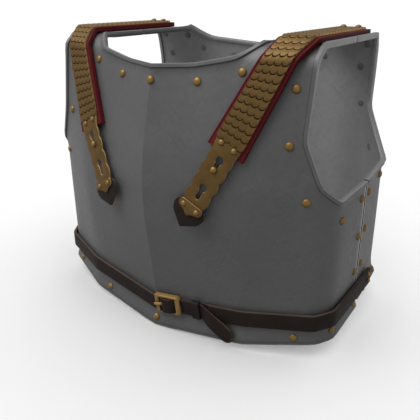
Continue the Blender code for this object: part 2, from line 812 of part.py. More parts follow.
def add_rod(name, bearing, stations, radius):
    """Build a round rod through stations: distances along, up and out, and share of the radius."""
    curve = bpy.data.curves.new(name, "CURVE")
    curve.dimensions = "3D"
    curve.bevel_depth = radius * MM
    curve.bevel_resolution = 2
    curve.use_fill_caps = True
    spline = curve.splines.new("POLY")
    spline.points.add(len(stations) - 1)
    for point, (along, up, out, share) in zip(spline.points, stations):
        place = bearing.at(along, up, out) - Vector((0, DEPTH_ORIGIN, 0))
        point.co = (*(place * MM), 1)
        point.radius = share
    thing = bpy.data.objects.new(name, curve)
    curve.materials.append(material(BRASS))
    collection("cuirass").objects.link(thing)


def add_prong(bearing):
    """Build the bar between the buckle's rails, and the prong on it, whose tip lies over the frame."""
    add_rod("buckle_bar", bearing, [(BAR_ALONG, up, BAR_OUT, 1.0) for up in (0, BELT_WIDTH)], BAR_RADIUS)
    add_rod("buckle_prong", bearing, [(b.along, PRONG_LEVEL, b.out, b.share) for b in PRONG], PRONG_RADIUS)


# Rivets


def surface(name):
    """Give a node's finished surface, in millimetres and with its depth uncentred."""
    graph = bpy.context.evaluated_depsgraph_get()
    thing = bpy.data.objects[name].evaluated_get(graph)
    mesh = bmesh.new()
    mesh.from_mesh(thing.to_mesh())
    bmesh.ops.scale(mesh, verts=mesh.verts, vec=(1 / MM, 1 / MM, 1 / MM))
    bmesh.ops.translate(mesh, verts=mesh.verts, vec=(0, DEPTH_ORIGIN, 0))
    tree = BVHTree.FromBMesh(mesh)
    mesh.free()
    thing.to_mesh_clear()
    return tree


def seat(tree, point, out, radius):
    """Find how far out a flat base must lie to clear the surface under all of it."""
    side = out.orthogonal().normalized()
    other = out.cross(side)
    best = None
    for k in range(STEPS + 1):
        angle = 2 * math.pi * k / STEPS
        spread = 0 if k == STEPS else radius
        start = point + (side * math.cos(angle) + other * math.sin(angle)) * spread + out * RAY
        hit = tree.ray_cast(start, -out, 2 * RAY)
        if hit[0] is not None:
            height = RAY - hit[3]
            best = height if best is None else max(best, height)
    return point + out * (best + GAP)


def head_mesh(head, shank=None, foot=0.0):
    """Turn a domed head, with a shank below it where one is given, about +Z."""
    profile = [(0.0, head.height)]
    for k in range(1, CAP_RINGS):
        angle = math.pi / 2 * k / CAP_RINGS
        profile.append((head.radius * math.sin(angle), head.height * math.cos(angle)))
    profile.append((head.radius, 0.0))
    if shank:
        profile += [(shank, 0.0), (shank, -foot), (0.0, -foot)]
    else:
        profile.append((0.0, 0.0))
    mesh = bmesh.new()
    verts = [mesh.verts.new((x, 0, z)) for x, z in profile]
    edges = [mesh.edges.new(pair) for pair in zip(verts, verts[1:])]
    turn = 2 * math.pi
    bmesh.ops.spin(
        mesh, geom=verts + edges, axis=(0, 0, 1), cent=(0, 0, 0), angle=turn, steps=STEPS, use_merge=True
    )
    bmesh.ops.remove_doubles(mesh, verts=mesh.verts, dist=0.001)
    bmesh.ops.recalc_face_normals(mesh, faces=mesh.faces)
    return mesh


def add_head(name, base, out, head, spec, shank=None, foot=0.0):
    mesh = head_mesh(head, shank, foot)
    turn = Vector((0, 0, 1)).rotation_difference(out).to_matrix().to_4x4()
    bmesh.ops.transform(mesh, matrix=Matrix.Translation(base) @ turn, verts=mesh.verts)
    return add(name, mesh, spec)


def rivet_name(spot, side):
    name = f"rivet_{spot.row}_{spot.number}"
    return name if spot.number == 0 else f"{name}_{side_name(side)}"


def outer_hit(tree, spot, side):
    """Find a rivet's place on the outer face, and the way out there."""
    near = mirrored((spot.x, spot.depth, spot.height), side)
    place, normal, _, _ = tree.find_nearest(near)
    return place, normal


def add_plate_rivets():
    tree = surface("breastplate")
    for spot in PLATE_RIVETS:
        for side in ((1,) if spot.number == 0 else (1, -1)):
            place, out = outer_hit(tree, spot, side)
            if spot.number == 0:
                place.x = 0
                out = Vector((0, out.y, out.z)).normalized()
            base = seat(tree, place, out, PLATE_HEAD.radius)
            add_head(rivet_name(spot, side), base, out, PLATE_HEAD, BRASS)
    for side in (1, -1):
        tree = surface(f"belt_{side_name(side)}")
        for spot in BELT_RIVETS:
            place, out = outer_hit(tree, spot, side)
            add_head(rivet_name(spot, side), seat(tree, place, out, BELT_HEAD.radius), out, BELT_HEAD, BRASS)


def add_strap_rivets(side):
    word = side_name(side)
    tree = surface(f"keyhole_plate_{word}")
    for number, across in ((1, -FRONT_RIVET_ACROSS), (2, FRONT_RIVET_ACROSS)):
        place = KEY_ORIGIN + KEY_UP * FRONT_RIVET_UP + KEY_ACROSS * across
        near = mirrored(place + KEY_OUT * HEAD_CLEAR, side)
        place, out, _, _ = tree.find_nearest(near)
        base = seat(tree, place, out, FRONT_HEAD.radius)
        add_head(f"rivet_strap_front_{number}_{word}", base, out, FRONT_HEAD, BRASS)
    tree = surface(f"scale_strip_{word}")
    end_row = strip_rows()[-1]
    centre = (end_row[0] + end_row[1]) / 2
    for number, across in ((1, -BACK_RIVET_ACROSS), (2, BACK_RIVET_ACROSS)):
        near = mirrored(centre + Vector((across, -BACK_RIVET_MARGIN, HEAD_CLEAR)), side)
        place, out, _, _ = tree.find_nearest(near)
        base = seat(tree, place, out, BACK_HEAD.radius)
        add_head(f"rivet_strap_back_{number}_{word}", base, out, BACK_HEAD, BRASS)


def add_stud(side):
    """Build the stud that the keyhole plate hooks on, with its shank down to the breastplate."""
    tree = surface("breastplate")
    out = mirrored(KEY_OUT, side)
    base = mirrored(key_point(STUD_DOWN, 0, KEY_PLATE + GAP), side)
    down = tree.ray_cast(base, -out)
    name = f"strap_stud_{side_name(side)}"
    add_head(name, base, out, STUD_HEAD, BRASS, STUD_SHANK, down[3] - 2 * GAP)


def clear():
    for thing in list(bpy.data.objects):
        bpy.data.objects.remove(thing)


def main():
    clear()
    floor = floor_cutter()
    for name, stations in (("breastplate", BREAST), ("backplate", BACK)):
        plate = shell(name, stations)
        orient(plate)
        cut(plate, floor)
    bearing = Bearing()
    add_belts(bearing)
    add_buckle(bearing)
    add_prong(bearing)
    for side in (1, -1):
        add_strap(side)
        add_key_plate(side)
        add_key_end(side)
        add_stud(side)
        add_strap_rivets(side)
    add_plate_rivets()


main()
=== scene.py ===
"""Looks of the steel cuirass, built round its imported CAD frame. Lengths in the tables are millimetres."""
import math
from collections import namedtuple

import bmesh
import bpy
import numpy as np
from mathutils import Matrix, Vector
from mathutils.bvhtree import BVHTree


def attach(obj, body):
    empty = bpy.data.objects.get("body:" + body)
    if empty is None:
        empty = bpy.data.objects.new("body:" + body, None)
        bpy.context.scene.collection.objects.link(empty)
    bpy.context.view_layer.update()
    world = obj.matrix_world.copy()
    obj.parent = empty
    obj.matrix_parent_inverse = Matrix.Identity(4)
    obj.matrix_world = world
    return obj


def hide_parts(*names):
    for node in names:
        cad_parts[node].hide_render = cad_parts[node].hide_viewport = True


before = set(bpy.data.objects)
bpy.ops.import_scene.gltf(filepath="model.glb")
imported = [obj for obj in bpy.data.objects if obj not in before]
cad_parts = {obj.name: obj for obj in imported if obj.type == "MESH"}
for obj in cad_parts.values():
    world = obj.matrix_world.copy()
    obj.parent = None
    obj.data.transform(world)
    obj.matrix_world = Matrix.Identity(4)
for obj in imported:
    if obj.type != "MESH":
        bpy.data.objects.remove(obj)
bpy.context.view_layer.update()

MM = 0.001
MERGE = 0.00001
DEPTH_ORIGIN = 136.5
GAP = 0.35
SMOOTH = 40
ROUND_SMOOTH = 50
BEVEL_ANGLE = 50
CAD_BEVEL_ANGLE = 35

# Camera
LENS = 42.0
SENSOR = 36
CAMERA_AT = (353.9, -400.2, 395.2)
AZIMUTH = 33.79
ELEVATION = 23.61

# Studio, with the floor's size in metres
WORLD = 1.08
SUN = 5.6
SUN_SPREAD = 50
SUN_FROM = (-0.38, -0.34, 0.86)
FLOOR_SIZE = 60

# Materials, with linear colours. A texture is a noise's scale in counts per metre, its detail and distortion.
Finish = namedtuple("Finish", "name dark light metallic gloss smooth rough")
WORN_STEEL = Finish("worn_steel", (0.046, 0.046, 0.0465), (0.058, 0.058, 0.058), 0.4, 0.2, 0.46, 0.56)
# A lighter copy of the steel for the plates' insides: painted light standing in for light that falls inside
INSIDE_LIT_STEEL = Finish("dull_steel", (0.140, 0.140, 0.140), (0.178, 0.178, 0.178), 0.2, 0.2, 0.46, 0.56)
TAIL_STEEL = Finish("rivet_tail_steel", (0.085, 0.085, 0.085), (0.12, 0.12, 0.12), 0.5, 0.2, 0.6, 0.6)
WORN_BRASS = Finish("worn_brass", (0.050, 0.0295, 0.0104), (0.068, 0.040, 0.0141), 0.5, 0.2, 0.36, 0.48)
# A lighter brass for cut sides and the scale rows' ends: a painted highlight where the sides catch the light
SIDE_HIGHLIGHT_BRASS = Finish("brass_painted_highlight", (0.26, 0.165, 0.075), (0.34, 0.22, 0.10), 0.5, 0.2, 0.36, 0.48)
# A lighter copy of the brass for rivet heads and studs: painted light standing in for their highlights
RIVET_LIT_BRASS = Finish("bright_brass", (0.096, 0.058, 0.0205), (0.128, 0.077, 0.0275), 0.5, 0.2, 0.36, 0.48)
# A lighter copy of the brass for the buckle: painted light standing in for light on its top
BUCKLE_LIT_BRASS = Finish("buckle_brass_painted_light", (0.112, 0.068, 0.0245), (0.144, 0.088, 0.032), 0.25, 0.2, 0.36, 0.48)
# Near-black for the scale strip's base and a line under its first row: painted shade in the gaps and a
# painted shadow
GAP_SHADE_FINISH = Finish("brass_painted_shade", (0.008, 0.007, 0.005), (0.020, 0.016, 0.010), 0.0, 0.03, 0.8, 0.8)
RED = Finish("red_leather", (0.032, 0.0019, 0.0028), (0.046, 0.0028, 0.0039), 0.0, 0.06, 0.54, 0.68)
# Lighter red leather for cut ends, undersides and one long side; on that side it is also a painted highlight
RED_CUT_AND_LIT = Finish("red_leather_edge", (0.046, 0.004, 0.0052), (0.066, 0.0058, 0.0075), 0.0, 0.06, 0.64, 0.78)
BROWN = Finish("dark_leather", (0.0060, 0.0040, 0.0032), (0.0098, 0.0068, 0.0056), 0.0, 0.06, 0.54, 0.68)
# Lighter dark leather for cut ends, undersides and one long side; on that side, the belt's upper edge, it is
# also a painted highlight
BROWN_CUT_AND_LIT = Finish(
    "dark_leather_edge", (0.028, 0.0190, 0.0165), (0.042, 0.03, 0.0265), 0.0, 0.06, 0.64, 0.78
)
FLOOR = Finish("floor_paint", (0.97, 0.97, 0.97), (0.97, 0.97, 0.97), 0.0, 0.2, 0.9, 0.9)
Looks = namedtuple(
    "Looks", "plate lining tails brass rubbed bright cast patina red red_edge brown brown_edge"
)

# Painted highlight colours for the steel's edges and seam
WORN_EDGE_HIGHLIGHT = (0.13, 0.13, 0.13)
INSIDE_EDGE_HIGHLIGHT = (0.15, 0.15, 0.15)
SEAM_HIGHLIGHT = (0.36, 0.36, 0.36)
BRASS_TINT = (0.80, 0.58, 0.30, 1)
STEEL_CLOUD = (9.0, 5.0)
STEEL_GRAIN = (160.0, 4.0, 0.3)
PATCH_NOISE = (16.0, 2.0)
STROKE_NOISE = (1.0, 1.0)
TAIL_NOISE = (300.0, 3.0)
BRASS_CLOUD = (30.0, 4.0)
BRASS_GRAIN = (260.0, 3.0)
GAP_SHADE_NOISE = (200.0, 3.0)
LEATHER_CLOUD = (40.0, 4.0)
LEATHER_GRAIN = (500.0, 4.0)
PORES = 700.0
CLOUD_RANGE = (0.3, 0.7)
CLOUD_SHARE = 0.6
PATCH_RANGE = (0.36, 0.60, 0.25, 1.0)
BRIGHT_SHARE = 0.12
BRIGHT_SHADE = 1.5
DARK_SHARE = 0.14
DARK_SHADE = 0.5
RELIEF = 0.2
# Painted shade on brass that faces down: where it starts and ends, and how dark it gets
PAINTED_SHADE_RANGE = (-0.7, 0.0, 0.6, 0.0)
PAINTED_SHADE_SHARE = 0.2
LEATHER_SHARE = 0.5
PORE_RANGE = (0.0, 0.35)
PORE_SHARE = 0.6

# A bump's strength, and its depth in millimetres
STEEL_BUMP = (0.2, 0.15)
BRASS_BUMP = (0.15, 0.15)
LEATHER_BUMP = (0.45, 0.25)

# The steel's scratches, with sizes as counts per metre
Scratch = namedtuple("Scratch", "angle across along low high")
BRIGHT_SCRATCHES = (
    Scratch(35, 420, 26, 0.56, 0.76), Scratch(-48, 460, 30, 0.57, 0.76), Scratch(78, 440, 28, 0.58, 0.78),
)
DARK_SCRATCHES = (
    Scratch(28, 380, 30, 0.56, 0.76), Scratch(-35, 420, 26, 0.56, 0.76), Scratch(62, 400, 30, 0.58, 0.78),
)

# Painted highlights and painted shade on the steel, as lines. A line is full, and then gone, at these
# distances of an attribute from its mark.
Line = namedtuple("Line", "attribute mark full gone strength colour share")
# The edge and seam colours are painted highlights; the dark lines are painted shade at the seam, in the rims'
# grooves, and of an engraved line over the hem
LINES = (
    Line("hem", 3.4, 0.25, 0.6, 0.75, "dark", 0.35), Line("hem", 0.0, 0.5, 1.0, 0.3, "edge", 1.0),
    Line("seam", 1.15, 0.5, 0.8, 0.9, "seam", 1.0), Line("seam", 0.0, 0.3, 0.5, 0.9, "dark", 0.2),
    Line("rim", 1.0, 0.0, 1.0, 1.0, "edge", 1.0), Line("rim", -0.5, 0.0, 0.5, 0.75, "dark", 0.35),
)

# Plates
WALL = 2.5
CELL = 9.0
SMOOTHINGS = 8
EDGE_SMOOTHINGS = 1
PULL = 0.4
RIM_THICKNESS = 6.5
FAR = 30.0
MIDDLE = Vector((0, DEPTH_ORIGIN, 0))
SHELL_SMOOTH = 32
EDGE_BEVEL = 0.5
EDGE_ANGLE = 60
LEAST_TURN = 0.6
FLOOR_CLEAR = 0.25
# How much of the rims' painted highlight the neck's rim keeps
NECK_HIGHLIGHT_SHARE = 0.3

# A rim's rings, from the wall outward. The light is for the steel's "rim" attribute: painted highlight where
# it is above nought, painted shade in the groove where it is below.
Ring = namedtuple("Ring", "reach thickness light")
RIM = (
    Ring(0.0, 2.5, 0.0), Ring(0.5, 2.9, -0.5), Ring(0.8, 5.6, -0.3), Ring(1.1, 6.4, 0.0),
    Ring(1.5, 6.5, 0.05), Ring(4.6, 6.5, 0.05), Ring(5.0, 6.4, 0.8), Ring(5.2, 6.0, 1.0),
)

# Mid-wall points (x, depth, height) of each plate's half
Station = namedtuple("Station", "level middle inner outer fore corner side seam")
BREAST = (
    Station("edge", (0, 0.9, -0.6), None, None, (119, 18.2, 9),
            (199, 51.6, 21.5), (211.3, 75.4, 20), (214.3, 148.7, 26)),
    Station("waist", (0, 9.2, 27), None, None, (119, 23.7, 38),
            (193.4, 51.2, 44.5), (207.1, 72.4, 44.5), (208.7, 147, 44.5)),
    Station("belly", (0, -8, 154), None, None, (119, 15.2, 158),
            (190.6, 49.8, 150), (205, 71.9, 146), (209.2, 139.6, 142)),
    Station("chest", (0, -9.4, 198), None, None, (119, 16, 206),
            (187, 47.4, 212.5), (202.4, 70.6, 190.5), (209.3, 135.8, 197)),
    Station("arm", (0, -5, 236), None, None, (119, 24, 250), (167.5, 41.4, 262), None, None),
    Station("neck", (0, 17, 323.5), (46, 30.4, 325.6),
            (93.5, 39.6, 335), (119, 45.8, 338.5), (168.4, 53.6, 338.5), None, None),
    Station("shoulder", None, None, (115, 60.5, 350.6), (127, 62.8, 351.7), (168.4, 70, 351.7), None, None),
    Station("top", None, None, (115, 134, 350.6), (127, 138, 351.7), (168.4, 156, 351.7), None, None),
)
BACK = (
    Station("edge", (0, 283, -0.4), None, None, (112, 279, -0.4),
            (192, 264, 20), (211.5, 232, 38), (214, 151.5, 34.5)),
    Station("waist", (0, 272.8, 46), None, None, (111, 268.6, 47),
            (180, 256, 52), (208.3, 219, 57), (208.8, 150, 44.5)),
    Station("belly", (0, 273.8, 122), None, None, (110, 268.8, 122),
            (177, 254.6, 122), (209.2, 210, 122), (209.3, 144, 122)),
    Station("arm", (0, 273.4, 222), None, None, (105, 267, 238),
            (167, 248.6, 264.5), (209, 202.6, 205.5), (209.3, 138.3, 197.5)),
    Station("yoke", (0, 269.8, 305), None, None, (103, 264, 308), (167.4, 247.3, 308), None, None),
    Station("neck", (0, 264.8, 327.5), (43, 263.2, 330.5),
            (86, 258.6, 334), (104, 256.4, 336), (168, 243, 336), None, None),
    Station("shoulder", None, None, (115, 244, 350.6), (127, 242.4, 351.7), (168.4, 237, 351.7), None, None),
    Station("top", None, None, (115, 136.6, 350.6), (127, 140.6, 351.7), (168.4, 158.6, 351.7), None, None),
)
CREASES = ("edge", "waist")
SHARES = {"inner": 0.39, "outer": 0.785}

# Straps
Fold = namedtuple("Fold", "inner outer")
STRAP = (
    Fold((76.8, 9.1, 256.2), (116.3, 13, 238.2)),
    Fold((118.4, 38.2, 341.4), (157.4, 43.2, 342)),
    Fold((126.5, 60.6, 359), (168, 67.4, 359)),
    Fold((126.5, 222, 359), (168, 222, 359)),
)
BACKING_MARGIN = 4.6
BEND = 4.0
STRIP_START = 17.4
STRIP_END_MARGIN = 4.6
STRIP_HEIGHT = 2.4
NORMAL_SPAN = 2.5
SCALE_ROWS = 32
FOOT_START = -4.7
FOOT_BASE = 2.1
LINE_UP = 0.08
SCALLOPS = 4
SCALLOP_DEPTH = 2.7
SCALLOP_POWER = 0.6
SCALLOP_STEPS = 8
SCALE_GAP = 1.3
SCALE_BASE = 0.9
SCALE_TILT = 0.3
SCALE_LIP = 0.12
SCALE_MIDDLE = 0.55
LIP_DROP = 0.3
BASE_TOP = 1.2
BASE_SIDES = (0.002, 0.998)
BASE_STEPS = 60
# Slot of the lighter brass, a painted highlight on the scale rows' ends
HIGHLIGHT_SLOT = 1
# Slot of the near-black, a painted shadow under the first row of scales
SHADOW_SLOT = 2

KEY_ORIGIN = Vector((96, 10.1, 245.2))
KEY_DOWN = Vector((-0.454, -0.194, -0.870)).normalized()
KEY_UP = Vector((0.398, 0.275, 0.875)).normalized()
KEY_ACROSS = Vector((0.877, 0.077, -0.475)).normalized()
KEY_OUT = KEY_DOWN.cross(KEY_ACROSS).normalized()
KEY_PLATE = 2.0
KEY_TOP_GAP = 0.5
KEY_TOP_MARGIN = 0.7
KEY_HALF = 14.2
KEY_END = 66.2
KEY_SMOOTH = 25
KEY_BEVEL = 0.3
TIP_BEVEL = 0.4
CORNER_CUT = 0.12
JOIN = 0.01
TIP_PLATE = 1.8
TAB = 2.4
BACKING = 5.6

Lobe = namedtuple("Lobe", "start end half bulge")
LOBES = (
    Lobe(0.0, 12.2, 13.6, 1.4), Lobe(12.2, 29.3, 13.0, 2.3),
    Lobe(29.3, 46.8, 13.0, 2.3), Lobe(46.8, 64.6, 13.1, 2.2),
)
LOBE_STEPS = 12
Keyhole = namedtuple("Keyhole", "centre radius slot_end slot_half")
KEYHOLES = (Keyhole(7.6, 4.7, 22.4, 2.7), Keyhole(43.4, 4.7, 58.4, 2.7))
ARC_STEPS = 24
Half = namedtuple("Half", "down across")
TIP = (
    Half(64.9, 13.0), Half(67.6, 14.9), Half(71.4, 15.0), Half(73.9, 13.0), Half(75.4, 9.0), Half(76.6, 5.3),
)
TIP_POINT = 80.6
TAB_SHAPE = (
    Half(66.6, 14.2), Half(68.6, 17.7), Half(72.0, 19.4), Half(76.0, 19.9),
    Half(80.6, 18.7), Half(85.2, 15.8), Half(91, 8.0),
)
TAB_POINT = 97.4
STUD_DOWN = 19.2
TIP_RIVET_DOWN = 70.4
TIP_RIVET_ACROSS = 8.9

# Belt
BELT_WIDTH = 20.4
BELT = 4.2
KEEPER_START = 55.6
KEEPER_END = 66.2
LOOP_SIDE = 1.9
LOOP_BACK = 1.2
LOOP_FRONT = 7.4
LOOP_ROUND = ((0.0, 2.6), (0.7, 0.9), (2.4, 0.0))
LOOP_BEVEL = 0.6
FRAME_BEVEL = 0.3
PRONG_LEVEL = 12.4
SLOT_HALF = 2.6
SLOT_START = 8.8
SLOT_END = 16.4
SLOT_BACK = 4.2
SLOT_FRONT = 12.0
LEATHER_ROUND = 0.45
MOST_ROUND = 0.45
CREASE_IN = 2.2
CREASE_HALF = 0.45
CREASE_DEPTH = 0.25
BELT_BEND = 5.0
MOST_BEND = 0.48
BEND_STEPS = 5
ARC = 3

BeltPoint = namedtuple("BeltPoint", "upper lower")
BELT_LINE = (
    BeltPoint((0, 5.0, 45.0), (0, 6.4, 24.6)),
    BeltPoint((119.3, 20.3, 56.4), (119.3, 21.2, 36.0)),
    BeltPoint((194.9, 49.2, 62.4), (195.7, 49.5, 42.0)),
    BeltPoint((209.2, 71.3, 62.6), (210.2, 71.5, 42.2)),
    BeltPoint((211.0, 150.0, 62.4), (212.3, 150.0, 42.0)),
    BeltPoint((211.2, 191.0, 62.4), (214.0, 190.0, 42.0)),
)
Lap = namedtuple("Lap", "along under thickness")
UPPER_LAP = (
    Lap(0.0, 0.0, 4.2), Lap(2.0, 0.0, 4.2), Lap(3.8, 2.3, 1.9), Lap(9.8, 2.3, 1.9), Lap(11.4, 5.2, 1.9),
    Lap(14.2, 7.0, 1.9), Lap(19.0, 7.5, 1.9), Lap(25.0, 7.2, 1.9), Lap(28.4, 5.2, 1.9), Lap(30.2, 2.8, 1.9),
    Lap(31.2, 2.3, 1.9), Lap(67.6, 2.3, 1.9),
)
LOWER_LAP = (Lap(5.2, 0.0, 1.9), Lap(75.0, 0.0, 1.9), Lap(79.0, 0.0, 4.2))
Tongue = namedtuple("Tongue", "upper lower thickness")
TONGUE = (
    Tongue((81.5, 7.9, 43.8), (77.4, 7.5, 23.8), 2.2),
    Tongue((94.8, 8.5, 36.4), (87.2, 8.2, 17.5), 3.2),
    Tongue((103.6, 9.4, 30.9), (95.4, 8.8, 12.3), 3.6),
    Tongue((108.2, 10.4, 26.7), (100.8, 9.1, 9.8), 3.6),
    Tongue((110.5, 10.2, 22.5), (105.6, 8.9, 10.0), 3.6),
    Tongue((111.8, 8.6, 17.5), (109.4, 8.4, 11.5), 3.6),
)

# Rivets
Head = namedtuple("Head", "radius height")
PLATE_HEAD = Head(4.7, 2.7)
BELT_HEAD = Head(3.3, 2.0)
FRONT_HEAD = Head(3.3, 2.1)
BACK_HEAD = Head(3.7, 2.4)
STUD_HEAD = Head(3.9, 3.1)
TIP_HEAD = Head(3.2, 2.0)
TAIL_HEAD = Head(4.6, 0.7)
STUD_SHANK = 1.7
HEAD_STEPS = 20
HEAD_RINGS = 5
HEAD_JOIN = 0.001
SEAT_REACH = 12.0
TAIL_REACH = 8.0
TAIL_SHARE = 0.7
OUTSIDE = 3
YOKE = 300

# Rivets of the wearer's left half. One in the middle has no twin on the right.
Spot = namedtuple("Spot", "x depth height")
PLATE_RIVETS = (
    Spot(0, 13, 312.8), Spot(52.2, 24.5, 314.2), Spot(98.6, 36.8, 325.2), Spot(153.8, 45.7, 312.9),
    Spot(155.1, 35.9, 257.7), Spot(176.6, 40.5, 199.2), Spot(207, 81, 171.4), Spot(214, 128, 182),
    Spot(214, 132.6, 132), Spot(214, 136, 82), Spot(0, 4, 11.5), Spot(92, 16, 18),
    Spot(174.1, 40.5, 28.3), Spot(216.5, 73, 34.5), Spot(214, 139, 36.4),
)
BACK_RIVETS = (
    Spot(0, 268, 312), Spot(46, 265, 314), Spot(97.7, 262, 322.4), Spot(121, 252, 341),
    Spot(158.4, 244, 341), Spot(151.5, 252, 312.3), Spot(157, 252, 266), Spot(180, 238, 213),
    Spot(210, 190, 194), Spot(210, 150.5, 184), Spot(210, 154, 135), Spot(210, 158, 85),
    Spot(0, 280, 14), Spot(92, 277, 15), Spot(168, 264, 26), Spot(212, 219, 47), Spot(213, 174, 41),
)
BELT_RIVETS = (Spot(216, 183.6, 57), Spot(216, 183.4, 47.5))
FRONT_RIVET_UP = 9.6
FRONT_RIVET_ACROSS = 8.2
BACK_RIVET_MARGIN = 6.8
BACK_RIVET_ACROSS = 9.0


# Materials


class Nodes:
    """A material's node tree, with short ways to add and link nodes up to its Principled shader."""

    def __init__(self, finish):
        self.finish = finish
        self.material = bpy.data.materials.new(finish.name)
        self.material.use_nodes = True
        self.tree = self.material.node_tree
        self.shader = self.tree.nodes["Principled BSDF"].inputs
        self.feed(self.shader, {
            "Metallic": finish.metallic, "Specular IOR Level": finish.gloss,
            "Roughness": finish.smooth, "Base Color": (*finish.light, 1),
        })
        self.place = self.add("ShaderNodeTexCoord", {}, "Object")

    def feed(self, inputs, values):
        """Set inputs to numbers and colours, or link them to other nodes' outputs."""
        for key, value in values.items():
            if isinstance(value, bpy.types.NodeSocket):
                self.tree.links.new(value, inputs[key])
            else:
                inputs[key].default_value = value

    def add(self, kind, values, output=0, **settings):
        node = self.tree.nodes.new(kind)
        for key, value in settings.items():
            setattr(node, key, value)
        self.feed(node.inputs, values)
        return node.outputs[output]

    def noise(self, texture, place=None):
        values = dict(zip(("Scale", "Detail", "Distortion"), texture))
        return self.add("ShaderNodeTexNoise", {"Vector": place or self.place, **values}, "Fac")

    def clouds(self, texture):
        return self.spread(self.noise(texture), *CLOUD_RANGE)

    def math(self, operation, *values):
        return self.add("ShaderNodeMath", dict(enumerate(values)), operation=operation)

    def blend(self, first, second, share):
        """Add two values, the first with its share and the second with the rest."""
        return self.math("MULTIPLY_ADD", first, share, self.math("MULTIPLY", second, 1 - share))

    def spread(self, value, low, high, to_low=0.0, to_high=1.0):
        ends = {"From Min": low, "From Max": high, "To Min": to_low, "To Max": to_high}
        return self.add("ShaderNodeMapRange", {"Value": value, **ends}, "Result")

    def mix(self, factor, first, second):
        colours = [(*c, 1) if isinstance(c, tuple) else c for c in (first, second)]
        return self.add("ShaderNodeMix", {0: factor, 6: colours[0], 7: colours[1]}, 2, data_type="RGBA")

    def mottle(self, factor):
        return self.mix(factor, self.finish.dark, self.finish.light)

    def finished(self, colour, grain=None, height=None, strength=0.0, distance=0.0):
        """Link the colour, the roughness and the bump to the shader, and give the material."""
        values = {"Base Color": colour}
        if grain:
            values["Roughness"] = self.spread(grain, 0.0, 1.0, self.finish.smooth, self.finish.rough)
            bump = {"Height": height, "Strength": strength, "Distance": distance * MM}
            values["Normal"] = self.add("ShaderNodeBump", bump, "Normal")
        self.feed(self.shader, values)
        return self.material


def shade(colour, share):
    return tuple(c * share for c in colour)


def strokes(nodes, scratches, patch):
    """Draw fine straight scratches as noises drawn out along their angles, worn away in patches."""
    total = 0.0
    for scratch in scratches:
        turn = {"Vector": nodes.place, "Rotation": (0, math.radians(scratch.angle), 0)}
        turned = nodes.add("ShaderNodeMapping", turn)
        drawn = {"Vector": turned, "Scale": (scratch.along, scratch.along, scratch.across)}
        line = nodes.noise(STROKE_NOISE, nodes.add("ShaderNodeMapping", drawn))
        total = nodes.math("ADD", total, nodes.spread(line, scratch.low, scratch.high))
    return nodes.math("MULTIPLY", total, patch)


def steel(finish, edge):
    """Make worn plate: clouded and scratched, with painted highlights and painted shade as lines along its
    rims, hem and seam.
    """
    nodes = Nodes(finish)
    fine = nodes.clouds(STEEL_GRAIN)
    marked = nodes.mottle(nodes.blend(nodes.clouds(STEEL_CLOUD), fine, CLOUD_SHARE))
    patch = nodes.spread(nodes.noise(PATCH_NOISE), *PATCH_RANGE)
    bright = strokes(nodes, BRIGHT_SCRATCHES, patch)
    dark = strokes(nodes, DARK_SCRATCHES, patch)
    lit, dull = shade(finish.light, BRIGHT_SHADE), shade(finish.dark, DARK_SHADE)
    marked = nodes.mix(nodes.math("MULTIPLY", bright, BRIGHT_SHARE), marked, lit)
    marked = nodes.mix(nodes.math("MULTIPLY", dark, DARK_SHARE), marked, dull)
    # Painted highlights on the edges and the seam, and painted shade in the dark lines
    colours = {"dark": finish.dark, "edge": edge, "seam": SEAM_HIGHLIGHT}
    for line in LINES:
        value = nodes.add("ShaderNodeAttribute", {}, "Fac", attribute_name=line.attribute)
        away = nodes.math("ABSOLUTE", nodes.math("SUBTRACT", value, line.mark))
        factor = nodes.spread(away, line.full, line.gone, line.strength, 0.0)
        marked = nodes.mix(factor, marked, shade(colours[line.colour], line.share))
    height = nodes.math("ADD", nodes.math("MULTIPLY", fine, RELIEF), nodes.math("MULTIPLY", bright, -RELIEF))
    return nodes.finished(marked, fine, height, *STEEL_BUMP)


def mottled(finish, texture):
    nodes = Nodes(finish)
    return nodes.finished(nodes.mottle(nodes.noise(texture)))


def brass(finish):
    """Make clouded brass, with painted shade where it faces down."""
    nodes = Nodes(finish)
    nodes.feed(nodes.shader, {"Specular Tint": BRASS_TINT})
    fine = nodes.clouds(BRASS_GRAIN)
    worn = nodes.mottle(nodes.blend(nodes.clouds(BRASS_CLOUD), fine, CLOUD_SHARE))
    normal = nodes.add("ShaderNodeNewGeometry", {}, "Normal")
    up = nodes.add("ShaderNodeSeparateXYZ", {"Vector": normal}, "Z")
    # Painted shade: darker where the surface faces down
    colour = nodes.mix(nodes.spread(up, *PAINTED_SHADE_RANGE), worn, shade(finish.dark, PAINTED_SHADE_SHARE))
    return nodes.finished(colour, fine, fine, *BRASS_BUMP)


def leather(finish):
    """Make grained leather: small cells between pores, under a cloudy colour."""
    nodes = Nodes(finish)
    fine = nodes.clouds(LEATHER_GRAIN)
    pores = {"Vector": nodes.place, "Scale": PORES}
    cells = nodes.add("ShaderNodeTexVoronoi", pores, feature="DISTANCE_TO_EDGE")
    height = nodes.blend(nodes.spread(cells, *PORE_RANGE), fine, PORE_SHARE)
    colour = nodes.mottle(nodes.blend(nodes.clouds(LEATHER_CLOUD), fine, LEATHER_SHARE))
    return nodes.finished(colour, fine, height, *LEATHER_BUMP)


def all_looks():
    return Looks(
        steel(WORN_STEEL, WORN_EDGE_HIGHLIGHT), steel(INSIDE_LIT_STEEL, INSIDE_EDGE_HIGHLIGHT), mottled(TAIL_STEEL, TAIL_NOISE),
        brass(WORN_BRASS), brass(SIDE_HIGHLIGHT_BRASS), brass(RIVET_LIT_BRASS), brass(BUCKLE_LIT_BRASS),
        mottled(GAP_SHADE_FINISH, GAP_SHADE_NOISE), leather(RED), leather(RED_CUT_AND_LIT), leather(BROWN), leather(BROWN_CUT_AND_LIT),
    )


# Meshes


